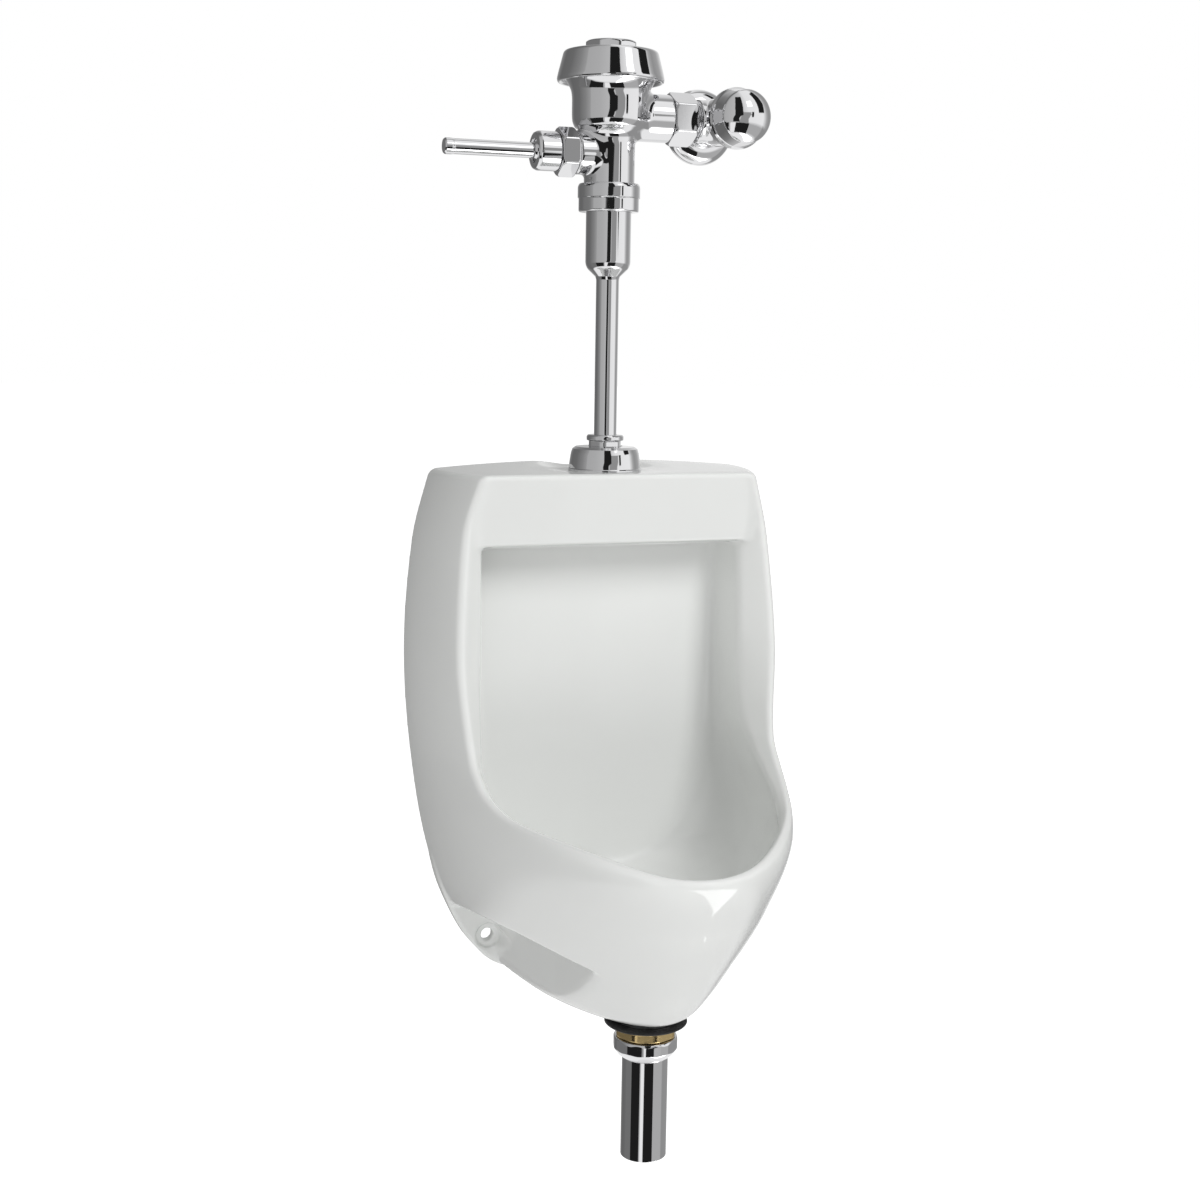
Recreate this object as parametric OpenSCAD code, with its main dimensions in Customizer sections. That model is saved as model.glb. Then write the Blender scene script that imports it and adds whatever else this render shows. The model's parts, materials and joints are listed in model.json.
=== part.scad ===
// Wall-hung washout urinal with an exposed manual flush valve.
// The origin lies on the wall face, on the centre line, level with the wall hanger bolts.
// +Z is up, +Y points into the wall, +X is to the right of a person who faces the urinal.

/* [China] */
// Width of the china where it meets the wall
china_w = 327; // [300:1:345]
// Height of the china from its top to its outlet face
china_h = 444; // [425:1:465]
// Reach of the lip from the wall
lip_reach = 292; // [275:1:310]
// Half-width of the opening between the side panels
opening_w = 118; // [108:0.5:122]
// Height of the hood in front of the water chamber
hood_h = 60; // [56:1:70]
// Distance from the wall to the spud and the flush valve axis
spud_d = 47; // [44:0.5:50]
// Distance from the wall to the outlet axis
outlet_d = 161; // [150:1:168]
// Thickness of the lugs that carry the lower anchor bolts
lug_t = 14; // [12:0.5:18]
// Distance between the lower anchor bolts
anchor_w = 180; // [176:1:186]
// Height of the lower anchor bolts above the outlet face
anchor_up = 33; // [30:1:36]
// Diameter of the lower anchor holes
anchor_hole = 11; // [9:0.5:13]

/* [Flush valve] */
// Height of the supply centre line above the china top
rough_in = 292; // [280:1:310]
// Distance from the flush valve axis to the control stop axis
stop_x = 100; // [97:1:104]
// Outer diameter of the flush tube
tube_d = 19.05; // [19:0.05:19.1]
// Outer diameter of the supply pipe that enters the wall socket
supply_d = 22.2; // [22.2:0.1:22.6]
// Length of the stick of the handle outside its socket
stick_l = 76; // [60:1:90]

/* [Outlet] */
// Outer diameter of the outlet tailpiece
tail_d = 38.1; // [38:0.05:38.2]
// Length of the outlet tailpiece below the slip nut
tail_l = 87; // [70:1:140]

/* [Hangers] */
// Distance between the two wall hangers
hanger_w = 200; // [190:1:206]
// Height of the china top above the hanger bolts
top_z = 62; // [60:1:64]
// Diameter of the hanger bolt holes
hanger_hole = 8; // [6:0.5:9]

/* [Hidden] */
$fn = 64;

// Clearance between pieces that move against each other
run_gap = 0.3;
// Radial clearance of a sliding fit on a round guide
slide_gap = 0.06;
// Thickness of the china at the bowl and at its floor
china_t = 13;
floor_t = 19;
// Bevel of the panel around the opening, and the soft radius of the china edges
edge_r = 6;
// Forward reach of the hood at its top and at its lower edge
hood_top_d = 89;
hood_low_d = 77;
// Depth of the back wall of the bowl from the wall
back_d = 30;
// Radius of the strainer's rim on the bowl floor
strainer_r = 34;

supply_z = top_z + rough_in;
handle_z = supply_z - 31;
outlet_z = top_z - china_h;
floor_z = outlet_z + floor_t;

// Value at x of a smooth curve through the points p, each [x, value]
function seg(p, x, i = 0) = (i >= len(p) - 2 || x < p[i + 1][0]) ? i : seg(p, x, i + 1);
function slope(p, i) =
    let (a = max(i - 1, 0), b = min(i + 1, len(p) - 1)) (p[b][1] - p[a][1]) / (p[b][0] - p[a][0]);
function curve(p, x) =
    let (i = seg(p, x), h = p[i + 1][0] - p[i][0], u = min(1, max(0, (x - p[i][0]) / h)),
        a = u * u * (3 - 2 * u), b = u * (1 - u) * (1 - u), c = u * u * (1 - u))
    p[i][1] * (1 - a) + p[i + 1][1] * a + h * (slope(p, i) * b - slope(p, i + 1) * c);
function mix(a, b, u) = a + (b - a) * u;

// The china is described by drop t below its top, as parts of its height,
// and by reach d from the wall.
function part(p, t, size) = size * curve(p, t / china_h);
// Half-width at the wall
flank = [[0, 0.864], [0.13, 0.955], [0.36, 1], [0.61, 0.942], [0.79, 0.838], [0.91, 0.66], [1, 0.4]];
function wall_half(t) = part(flank, t, china_w / 2);
// Reach that the elliptical plan of the skin would have at its nose
nose = [[0, 0.59], [0.14, 0.592], [0.34, 0.65], [0.507, 0.71], [0.59, 0.935], [0.65, 1.0], [0.77, 0.925],
    [0.9, (outlet_d + 72.6) / lip_reach], [0.97, (outlet_d + 53.6) / lip_reach],
    [1, (outlet_d + 34.6) / lip_reach]];
function nose_reach(t) = part(nose, t, lip_reach);
function skin_half(d, t) = wall_half(t) * sqrt(max(0, 1 - pow(d / nose_reach(t), 2)));

// Side view of the rim: reach and drop of the edge of the panels and the lip
rim = [[0.3, -0.05], [0.3, 0], [0.291, 0.09], [0.311, 0.24], [0.342, 0.42], [0.374, 0.507],
    [0.42, 0.543], [0.48, 0.57], [0.58, 0.592], [0.75, 0.606], [0.865, 0.62], [0.965, 0.641],
    [1.02, 0.652], [1.1, 0.66]];
function rim_point(s) =
    let (n = len(rim) - 1, i = min(n - 1, floor(s * n)), u = s * n - i,
        a = rim[max(i - 1, 0)], b = rim[i], c = rim[i + 1], e = rim[min(i + 2, n)],
        q = 0.5 * (2 * b + (c - a) * u + (2 * a - 5 * b + 4 * c - e) * u * u
            + (3 * b - a - 3 * c + e) * u * u * u))
    [q[0] * lip_reach, q[1] * china_h];
function rim_normal(s) =
    let (a = rim_point(max(0, s - 0.01)), b = rim_point(min(1, s + 0.01)), v = b - a)
    [v[1], -v[0]] / norm(v);

// Distance in plan from a point to the skin, inwards
function inset(x, d, t) =
    let (a = wall_half(t), b = nose_reach(t), q = sqrt(pow(x / a, 2) + pow(d / b, 2)),
        g = sqrt(pow(x / a / a, 2) + pow(d / b / b, 2)) / q)
    (1 - q) / g;
// Fall of the rim face from its edge, by distance from the skin
face_fall = [[0, 0.8], [0.14, 0.9], [0.24, 1.0], [0.34, 1.15], [0.42, 1.4], [0.507, 1.4], [0.6, 1], [1, 0.8]];
function rim_fall(e, t) =
    e < edge_r ? edge_r - sqrt(max(0, pow(edge_r, 2) - pow(edge_r - max(0, e), 2)))
        : min(26, (e - edge_r) * curve(face_fall, t / china_h));

// Triangles between rings of equal length from top to bottom, each clockwise from above
module loft(rings) {
    n = len(rings[0]);
    m = len(rings);
    points = [for (r = rings) each r];
    sides = [for (i = [0 : m - 2], j = [0 : n - 1]) each
        let (a = i * n + j, b = i * n + (j + 1) % n) [[a, a + n, b], [b, a + n, b + n]]];
    caps = [[for (j = [0 : n - 1]) j], [for (j = [0 : n - 1]) m * n - 1 - j]];
    polyhedron(points, concat(sides, caps), convexity = 8);
}
// Solid between two grids of points
module slab(near, far) {
    rings = [for (i = [0 : len(near) - 1]) concat(far[i],
        [for (j = [len(near[i]) - 1 : -1 : 0]) near[i][j]])];
    loft(rings);
}

// Outline of the skin at drop t, drawn in by e, with points along the wall
flank_steps = 13;
function outline(t, e) =
    let (a = wall_half(t) - e, b = nose_reach(t) - e,
        right = [for (i = [0 : flank_steps - 1]) let (f = 90 * i / flank_steps) [a * cos(f), -b * sin(f)]],
        wall = [for (k = [-3 : 3]) [a * k / 4, 0]])
    concat(wall, right, [[0, -b]], [for (i = [flank_steps - 1 : -1 : 0]) [-right[i][0], right[i][1]]]);

// Soft crown of the china top towards the wall, flat around the spud
crown = 6.5;
seat_r = 34;
function crown_z(p) =
    let (u = min(1, max(0, (norm([p[0], p[1] + spud_d]) - seat_r) / 34)))
    crown * u * u * (3 - 2 * u) * (1 - pow(p[0] / wall_half(0), 2)) * max(0, 1 + p[1] / hood_top_d);
function cap_ring(u) =
    let (o = outline(0, edge_r))
    [for (p = o) let (c = [0, -spud_d], v = p - c, q = mix(c + v / norm(v) * seat_r, p, u))
        [q[0], q[1], crown_z(q)]];
function skin_ring(t, e, lift) =
    [for (p = outline(t, e)) [p[0], p[1], -t + lift * crown_z(p)]];

module china_skin() {
    soft = [for (k = [1 : 4]) let (a = 90 * k / 4)
        skin_ring(edge_r * (1 - cos(a)), edge_r * (1 - sin(a)), 1)];
    sides = [for (t = [16 : 18 : 214]) skin_ring(t, 0, max(0, 1 - t / 60))];
    lip = [for (t = [226 : 9 : 298]) skin_ring(t, 0, 0)];
    low = [for (t = [312 : 16 : 424]) skin_ring(t, 0, 0)];
    base_r = 16;
    base = [for (k = [1 : 4]) let (a = 90 * k / 4)
        skin_ring(china_h - base_r * (1 - sin(a)), base_r * (1 - cos(a)), 0)];
    loft(concat([for (u = [0, 0.25, 0.5, 0.75]) cap_ring(u)], [cap_ring(1)], soft, sides, lip, low, base));
}

// Everything in front of the rim face, from above the hood to below the lip
module rim_cut() {
    fractions = [1.15, 1.04, 1, 0.985, 0.965, 0.94, 0.91, 0.87, 0.82, 0.72, 0.5, 0.25];
    columns = concat(fractions, [0], [for (j = [len(fractions) - 1 : -1 : 0]) -fractions[j]]);
    rows = 44;
    near = [for (i = [0 : rows]) let (s = i / rows, p = rim_point(s), n = rim_normal(s),
            w = max(14, skin_half(p[0], max(0, p[1]))))
        [for (c = columns) let (e = inset(c * w, p[0], max(0, p[1])), f = rim_fall(e, p[1]))
            [c * w, -p[0] + n[0] * f, -p[1] + n[1] * f]]];
    far = [for (i = [0 : rows]) let (p = rim_point(i / rows), w = max(14, skin_half(p[0], max(0, p[1]))))
        [for (c = columns) [c * w, -lip_reach - 120, -p[1]]]];
    slab(near, far);
}

module side_prism(points, half) {
    rotate([90, 0, 90]) translate([0, 0, -half]) linear_extrude(height = 2 * half) polygon(points);
}
module hood_block() {
    corner = [for (a = [0 : 15 : 90]) [-hood_top_d + edge_r - edge_r * sin(a), -edge_r + edge_r * cos(a)]];
    side_prism(concat([[0, -hood_h - 8], [0, 8], [-hood_top_d + edge_r, 8]],
        corner, [[-hood_low_d - 1, -hood_h + 3], [-hood_low_d + 3, -hood_h - 1], [-hood_low_d + 3, -hood_h - 8]]), china_w);
}

// Bowl: the skin drawn in by the wall, within a box with soft back corners
bowl_reach = [[0.1, 0.96], [0.65, 0.96], [0.72, 0.885], [0.78, 0.8],
    [0.83, (outlet_d + strainer_r + 20) / lip_reach], [0.88, (outlet_d + strainer_r + 11) / lip_reach],
    [1, (outlet_d + strainer_r + 6) / lip_reach]];
bowl_half = [[0.1, 1], [0.48, 1], [0.56, 1.05], [0.67, 1.1], [0.73, 1.0], [0.765, 0.84], [0.79, 0.62],
    [0.81, 0.48], [0.84, 0.42], [0.88, 0.37], [1, 0.35]];
bowl_back = [[0.1, 0], [0.74, 0], [0.79, 0.063], [0.825, 0.376], [0.86, 0.75], [0.91, 0.98], [0.94, 1], [1, 1]];
bowl_corner = [[0.1, 10], [0.25, 16], [0.45, 34], [0.66, 60], [0.8, 50], [0.88, 38], [1, 36]];
function bowl_skin(t) =
    let (a = wall_half(t) - china_t, b = min(nose_reach(t) - china_t, part(bowl_reach, t, lip_reach)))
    [for (i = [0 : 7.5 : 352.5]) [a * cos(i), -b * sin(i), -t]];
function bowl_box(t) =
    let (f = part(bowl_half, t, opening_w), k = curve(bowl_back, t / china_h),
        d = back_d + k * (outlet_d - back_d - strainer_r - 2), r = min(f - 1, curve(bowl_corner, t / china_h)),
        b = f - 10 * (1 - k) * max(0, 1 - t / china_h / 0.6),
        right = concat([for (a = [0 : 15 : 90]) [b - r + r * sin(a), -d - r + r * cos(a), -t]],
            [[f, -max(hood_low_d + 14, d + r + 6), -t], [f, -lip_reach - 40, -t]]))
    concat(right, [for (i = [len(right) - 1 : -1 : 0]) [-right[i][0], right[i][1], -t]]);
module bowl_cut() {
    floor_t_at = china_h - floor_t;
    levels = concat([for (t = [hood_h + 1 : 15 : 226]) t], [for (t = [236 : 10 : floor_t_at - 2]) t], [floor_t_at]);
    intersection() {
        loft([for (t = levels) bowl_skin(t)]);
        loft([for (t = levels) bowl_box(t)]);
    }
    side_prism([[-back_d - 2, -hood_h - 3.5], [-hood_low_d - 20, -hood_h], [-hood_low_d - 20, -hood_h - 6],
        [-back_d - 2, -hood_h - 6]], opening_w - 12);
}

// Hollow beside the outlet block, in front of the lug
block_half = 83;
module lug_recess() {
    reach = 206;
    top_at = 0.824 * china_h;
    arch = 13;
    levels = [[top_at, 0, 1], [china_h - 16, 0, 0], [china_h - 8, 2, 0], [china_h - 3, 6, 0], [china_h + 4, 14, 0]];
    loft([for (q = levels) let (side = [for (u = [0 : 0.2 : 1])
            [block_half - q[1] - 30 * u, -lug_t - reach * u, -q[0] - q[2] * arch * pow(2 * u - 1, 2)]])
        concat([for (i = [0 : 5]) [china_w, side[i][1], side[i][2]]], [for (i = [5 : -1 : 0]) side[i]])]);
}

// Water way: spud hole, chamber behind the hood and the spreader holes
spud_hole_r = 16.5;
chamber_h = 26;
module water_way() {
    translate([0, -spud_d, -20]) cylinder(r = spud_hole_r, h = 30);
    translate([0, -spud_d, -34]) cylinder(r = 20.5, h = 16.2);
    translate([-78, -spud_d - 13, -18 - chamber_h]) cube([156, 30, chamber_h]);
    for (k = [-4 : 4]) translate([k * 17.5, -spud_d - 2, -hood_h - 8]) cylinder(d = 5, h = hood_h - 8, $fn = 24);
}

// Pocket behind each hanger, with the rib that rests on the hanger arm
arm_z = 18;
pocket_w = 52;
module hanger_pocket() {
    difference() {
        translate([-pocket_w / 2, -19, -80]) cube([pocket_w, 20, 58]);
        translate([-pocket_w / 2 - 1, -11, -top_z + arm_z]) cube([pocket_w + 2, 7, 60]);
    }
}

// The free form of the china, brought to its width as one soft surface
module china_form() {
    resize([china_w, 0, 0]) difference() {
        union() {
            difference() {
                china_skin();
                rim_cut();
            }
            intersection() {
                china_skin();
                hood_block();
            }
        }
        bowl_cut();
        lug_recess();
        mirror([1, 0, 0]) lug_recess();
    }
}

module china_body() {
    color("whitesmoke") translate([0, 0, top_z]) difference() {
        china_form();
        water_way();
        for (s = [-1, 1]) {
            translate([s * hanger_w / 2, 0, 0]) hanger_pocket();
            translate([s * anchor_w / 2, 1, -china_h + anchor_up]) rotate([90, 0, 0]) {
                cylinder(d = anchor_hole, h = lug_t + 2);
                translate([0, 0, lug_t - 3]) cylinder(d = 2 * anchor_hole, h = 6);
            }
        }
        translate([0, -outlet_d, -china_h - 1]) cylinder(r = outlet_hole_r, h = floor_t + 3);
    }
}

// Turned shape from points [radius, height], and the same along +X, -X or towards the front
module turned(points) {
    rotate_extrude() polygon(points);
}
module along_x(x, z) {
    translate([x, -spud_d, z]) rotate([0, 90, 0]) children();
}
module along_minus_x(x, z) {
    translate([x, -spud_d, z]) rotate([0, -90, 0]) children();
}
module at_stop(d) {
    translate([stop_x, -d, supply_z]) rotate([90, 0, 0]) children();
}
module at_axis(z) {
    translate([0, -spud_d, z]) children();
}
module at_outlet(z) {
    translate([0, -outlet_d, outlet_z + z]) children();
}
module ring(r_in, r_out, h) {
    difference() {
        cylinder(r = r_out, h = h);
        translate([0, 0, -1]) cylinder(r = r_in, h = h + 2);
    }
}
module hex(across, h) {
    cylinder(d = across / cos(30), h = h, $fn = 6);
}
// Round wire wound as a helix that rises along +Z
module coil(r, wire, h, turns) {
    steps = 12;
    sides = 6;
    rings = [for (i = [turns * steps : -1 : 0]) let (a = 360 * i / steps, z = h * i / turns / steps)
        [for (j = [0 : sides - 1]) let (b = -360 * j / sides, q = r + wire / 2 * cos(b))
            [q * cos(a), q * sin(a), z + wire / 2 * sin(b)]]];
    loft(rings);
}

// Heights above the china top, along the flush valve axis
tube_r = tube_d / 2;
vb_r = 18.8;
vb_low = 160;
vb_high = 214;
body_r = 21;
barrel_r = 31.6;
seat_bore = 13;
diaphragm_z = top_z + 321;
diaphragm_t = 2.5;
diaphragm_lift = 4;

module wall_hangers() {
    plate_t = 3;
    half = 19;
    color("slategray") for (s = [-1, 1]) translate([s * hanger_w / 2, 0, 0]) difference() {
        union() {
            translate([-half, -plate_t, -16]) cube([2 * half, plate_t, 16 + arm_z]);
            translate([-half, -15, arm_z - plate_t]) cube([2 * half, 15, plate_t]);
            translate([-half, -15, arm_z - plate_t]) cube([2 * half, plate_t, plate_t + 10]);
        }
        translate([0, 1, 0]) rotate([90, 0, 0]) cylinder(d = hanger_hole, h = plate_t + 2);
    }
}

// Inlet spud group
spud_r = 14;
module inlet_spud() {
    color("peru") at_axis(top_z) turned([[11, -27], [15.8, -27], [15.8, -24], [spud_r, -21],
        [spud_r, 13.5], [11, 13.5]]);
}
module spud_gasket() {
    color("black") at_axis(top_z) turned([[15.9, -26.5], [19, -24], [19.5, -18], [spud_hole_r - 0.1, -18],
        [spud_hole_r - 0.1, -0.1], [spud_r + 0.1, -0.1], [spud_r + 0.1, -20.9], [15.9, -23.7]]);
}
module spud_locknut() {
    color("peru") at_axis(top_z) difference() {
        hex(36, 6.5);
        translate([0, 0, -1]) cylinder(r = spud_r + 0.05, h = 9);
    }
}
module spud_flange() {
    color("silver") at_axis(top_z) turned([[31, 0], [31, 1.6], [30.4, 2.4], [30, 7], [28.8, 15], [27.6, 18.4],
        [25, 20.2], [14.6, 20.8], [14.6, 19.4], [24.5, 18.8], [26.4, 17.2], [27.6, 14.6], [28.8, 6.8], [29.2, 0]]);
}
module spud_coupling_nut() {
    color("silver") at_axis(top_z) difference() {
        union() {
            translate([0, 0, 7]) hex(33, 11.6);
            translate([0, 0, 18.6]) cylinder(r = 14.2, h = 1);
            translate([0, 0, 19.6]) intersection() {
                hex(26.4, 5.6);
                cylinder(r = 14.2, h = 6);
            }
            translate([0, 0, 25.2]) turned([[0, 0], [15.1, 0], [15.7, 0.6], [15.7, 3.6], [14.6, 5], [0, 5]]);
        }
        translate([0, 0, 6]) cylinder(r = spud_r + 0.05, h = 12);
        cylinder(r = tube_r + 0.08, h = 40);
    }
}
module spud_slip_gasket() {
    color("black") at_axis(top_z + 13.6) ring(tube_r + 0.02, spud_r, 3.2);
}
module friction_washer() {
    color("saddlebrown") at_axis(top_z + 16.9) ring(tube_r + 0.02, spud_r, 1);
}

// Flush tube with its wide head for the vacuum breaker
module flush_tube() {
    wall = 1;
    color("silver") at_axis(top_z) turned([[tube_r - wall, -10], [tube_r, -10], [tube_r, vb_low - 1],
        [tube_r + 0.8, vb_low + 1.5], [vb_r - 1.5, vb_low + 8], [vb_r, vb_low + 12], [vb_r, vb_high + 4.2],
        [20.6, vb_high + 4.2], [20.6, vb_high + 5.8], [vb_r - wall, vb_high + 5.8], [vb_r - wall, vb_low + 12.4],
        [tube_r, vb_low + 3], [tube_r - wall, vb_low - 0.5]]);
}
module vacuum_breaker_sleeve() {
    color("dimgray") at_axis(top_z) turned([[10.6, vb_high + 7.6], [20.6, vb_high + 7.6], [20.6, vb_high + 5.9],
        [16.8, vb_high + 5.9], [15, vb_high], [11.5, vb_high - 28], [9.6, vb_high - 28], [10.6, vb_high - 22],
        [12.8, vb_high + 1]]);
}
module vacuum_breaker_nut() {
    color("silver") at_axis(top_z) difference() {
        union() {
            translate([0, 0, vb_high + 11]) turned([[0, 0], [25.9, 0], [25.9, 9.6], [24.6, 12], [0, 12]]);
            translate([0, 0, vb_high]) intersection() {
                cylinder(d = 50 / cos(22.5), h = 11, $fn = 8);
                turned([[0, 0], [24.4, 0], [25.3, 1.2], [25.3, 11], [0, 11]]);
            }
        }
        translate([0, 0, vb_high - 1]) cylinder(r = vb_r + 0.15, h = 40);
        translate([0, 0, vb_high + 4.1]) cylinder(r = body_r + 0.05, h = 30);
    }
}

// Flush valve body with its inlet branch, handle boss and inner seat tube
module valve_body() {
    color("silver") difference() {
        union() {
            at_axis(top_z) turned([[0, vb_high + 8], [body_r, vb_high + 8], [body_r, 270], [body_r + 0.6, 275],
                [24.4, 279], [29.2, 282.2], [31.2, 286.4], [barrel_r, 292], [barrel_r, 306], [32.4, 312],
                [35.4, 317.4], [38, 320.6], [40.2, 320.6], [40.2, 328], [0, 328]]);
            along_x(0, supply_z) cylinder(r = 19.5, h = 51);
            along_x(50, supply_z) cylinder(r = 16.5, h = 10);
            along_minus_x(0, handle_z) turned([[0, 0], [17.5, 0], [17.5, 29.6], [16.4, 31], [0, 31]]);
            along_minus_x(-30, handle_z) cylinder(r = 15, h = 7);
        }
        at_axis(top_z) {
            translate([0, 0, vb_high + 7]) cylinder(r = seat_bore, h = 130);
            turned([[17, 284], [27.5, 284], [27.5, 340], [17, 340]]);
            translate([0, 0, 317]) cylinder(r = 27.5, h = 20);
            translate([0, 0, 321]) cylinder(r = 36.3, h = 20);
        }
        along_x(22, supply_z) cylinder(r = 12, h = 50);
        along_minus_x(-8, handle_z) cylinder(r = 9.5, h = 40);
    }
}
module valve_seat() {
    color("ivory") at_axis(top_z + 317) ring(12.4, 17, 4);
}
module diaphragm() {
    color("black") at_axis(diaphragm_z) ring(8.1, 36, diaphragm_t);
}
module diaphragm_guide() {
    color("lightblue") at_axis(diaphragm_z) turned([[4.6, -15], [11.9, -15], [11.9, -0.05], [8, -0.05],
        [8, diaphragm_t + 0.05], [18, diaphragm_t + 0.05], [18, diaphragm_t + 1.6], [14, diaphragm_t + 2.6],
        [5.4, diaphragm_t + 2.6]]);
}
stem_r = 3;
module relief_valve() {
    color("orange") at_axis(diaphragm_z) turned([[0, -68], [stem_r - 0.6, -68], [stem_r, -67.4],
        [stem_r, diaphragm_t + 2.7], [9, diaphragm_t + 2.7], [9, diaphragm_t + 4.4], [7, diaphragm_t + 5.2],
        [0, diaphragm_t + 5.2]]);
}
module inside_cover() {
    color("gray") at_axis(diaphragm_z + diaphragm_t) turned([[30, 0], [36.1, 0], [36.1, 13], [0, 13], [0, 10.6],
        [26, 10.6], [30, 8]]);
}
module outside_cover() {
    color("silver") at_axis(top_z) difference() {
        union() {
            turned([[0, 320], [43.4, 320], [44.2, 321], [44.2, 323.6], [43.7, 325.5], [42.6, 331.6], [42, 332.4],
                [40.2, 339.6], [39, 342], [36.6, 343.2], [22, 344], [0, 344]]);
            translate([0, 0, 344]) intersection() {
                cylinder(d = 41 / cos(22.5), h = 7, $fn = 8);
                turned([[0, 0], [22.4, 0], [22.4, 5], [19.6, 7], [0, 7]]);
            }
        }
        translate([0, 0, 319]) cylinder(r = 40.25, h = 9.4);
        translate([0, 0, 328]) cylinder(r = 36.3, h = 8.6);
    }
}

// Handle group, along -X
cup_x = 46.5;
cup_end = 66;
lip_in = 64;
disc_r = 13.4;
module handle_gasket() {
    color("black") along_minus_x(-37.05, handle_z) ring(7.2, 14.6, 1.5);
}
module handle_socket() {
    color("silver") along_minus_x(0, handle_z) turned([[7, 38.6], [14.7, 38.6], [14.7, 40.8], [12.4, 40.8],
        [12.4, cup_x], [15.4, cup_x], [15.9, cup_x + 0.8], [15.9, cup_end - 3], [14.6, cup_end - 0.6],
        [13.4, cup_end], [10, cup_end], [9.6, cup_end - 0.6], [9.6, lip_in], [14.2, lip_in], [14.2, 49], [7, 49]]);
}
module handle_coupling_nut() {
    color("silver") along_minus_x(-31.2, handle_z) difference() {
        intersection() {
            hex(35.4, 15);
            turned([[0, 0], [18.8, 0], [20.4, 1.6], [20.4, 13], [18.6, 15], [0, 15]]);
        }
        translate([0, 0, -1]) cylinder(r = 15.05, h = 10.7);
        cylinder(r = 12.5, h = 20);
    }
}
module handle_bushing() {
    color("ivory") along_minus_x(0, handle_z) turned([[2.5 + slide_gap, 38.8], [6.9, 38.8], [6.9, 49.05],
        [14.1, 49.05], [14.1, 52], [2.5 + slide_gap, 52]]);
}
module handle_lever() {
    color("silver") along_minus_x(0, handle_z) turned([[0, 60], [disc_r - 0.5, 60], [disc_r, 60.6],
        [disc_r, lip_in - 0.3], [8, lip_in - 0.3], [6.2, lip_in + 2.4], [6.2, cup_end + stick_l - 8],
        [6.5, cup_end + stick_l - 6], [6.5, cup_end + stick_l - 1.2], [5.6, cup_end + stick_l], [0, cup_end + stick_l]]);
}
module plunger() {
    color("gainsboro") along_minus_x(0, handle_z) turned([[0, stem_r + run_gap], [1.9, stem_r + run_gap],
        [2.5, stem_r + 1], [2.5, 57.4], [6, 57.4], [6, 58.2], [3, 58.95], [1, 59.45], [0, 59.6]]);
}
module plunger_spring() {
    color("gold") along_minus_x(-52.45, handle_z) coil(4.2, 0.8, 4.5, 2.5);
}
module plunger_seal() {
    color("black") along_minus_x(-37.1, handle_z) ring(2.5 + slide_gap, 6.9, 1.6);
}

// Inlet group, along +X
module tailpiece_coupling_nut() {
    color("silver") along_x(51.3, supply_z) difference() {
        intersection() {
            hex(38.6, 21);
            turned([[0, 0], [20.4, 0], [22.3, 2], [22.3, 18.4], [20, 21], [0, 21]]);
        }
        translate([0, 0, -1]) cylinder(r = 16.55, h = 14.2);
        cylinder(r = 13.3, h = 30);
    }
}
module adjustable_tailpiece() {
    length = stop_x - stop_bore - run_gap - 60.1;
    color("silver") along_x(60.1, supply_z) turned([[10.4, 0], [16.2, 0], [16.2, 2.8], [13.2, 2.8],
        [13.2, length], [10.4, length]]);
}
module tailpiece_o_ring() {
    color("black") along_x(81.6, supply_z) ring(13.22, 14.9, 2.4);
}

// Control stop, along the line from the wall to the front
stop_bore = 13;
piston_r = 12.9;
module stop_body() {
    color("silver") difference() {
        union() {
            at_stop(20) turned([[0, 0], [17.2, 0], [18.6, 1.4], [18.6, 12], [19.4, 17], [19.4, 46], [0, 46]]);
            translate([stop_x - 1, -spud_d, supply_z]) rotate([0, -90, 0])
                turned([[0, 0], [17.4, 0], [17.4, 21.5], [16.6, 22.5], [0, 22.5]]);
        }
        at_stop(19) cylinder(r = 12.05, h = 10);
        at_stop(19) cylinder(r = 9, h = 20);
        at_stop(33) cylinder(r = stop_bore, h = 34);
        along_x(70, supply_z) cylinder(r = 13.25, h = 18);
        along_x(70, supply_z) cylinder(r = 10.4, h = 30);
        along_x(81.4, supply_z) cylinder(r = 15, h = 2.8);
    }
}
module stop_bonnet() {
    color("silver") at_stop(66) difference() {
        union() {
            turned([[0, 0], [21.4, 0], [22, 0.8], [22, 7.4], [20.6, 9], [0, 9]]);
            translate([0, 0, 9]) cylinder(r = 14, h = 8);
            translate([0, 0, -8]) cylinder(r = stop_bore - 0.05, h = 8);
        }
        translate([0, 0, -9]) cylinder(r = 5 + slide_gap, h = 30);
        translate([0, 0, -9]) cylinder(r = 9.6, h = 7.6);
    }
}
module stop_piston() {
    color("gainsboro") at_stop(33.6) turned([[0, 0], [9.2, 0], [piston_r, 2.4], [piston_r, 10], [9, 10], [9, 8],
        [0, 8]]);
}
module stop_spring() {
    color("gold") at_stop(42.25) coil(7.6, 1.2, 21.7, 5);
}
module adjusting_screw() {
    color("peru") at_stop(41.7) difference() {
        union() {
            cylinder(r = 5, h = 44);
            translate([0, 0, 1.2]) cylinder(r = 6.2, h = 1.6);
        }
        translate([-6, -0.8, 41.5]) cube([12, 1.6, 4]);
    }
}
module stop_cap() {
    color("silver") at_stop(0) turned(concat([[14.3, 76.2], [24.2, 76.2], [25, 77.2], [25, 80.6], [23.4, 83],
        [22.2, 92], [21.6, 96]], [for (a = [15 : 15 : 90]) [21.6 * cos(a), 96 + 11.5 * sin(a)]],
        [[0, 105.5], [12, 102], [18, 96], [18, 86], [14.3, 84.6]]));
}
module supply_adapter() {
    color("peru") at_stop(0.02) turned([[supply_d / 2 + 0.05, 0], [14.4, 0], [14.4, 19.7], [12, 19.7], [12, 28.6],
        [9, 28.6], [9, 19], [supply_d / 2 + 0.05, 19]]);
}
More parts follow.
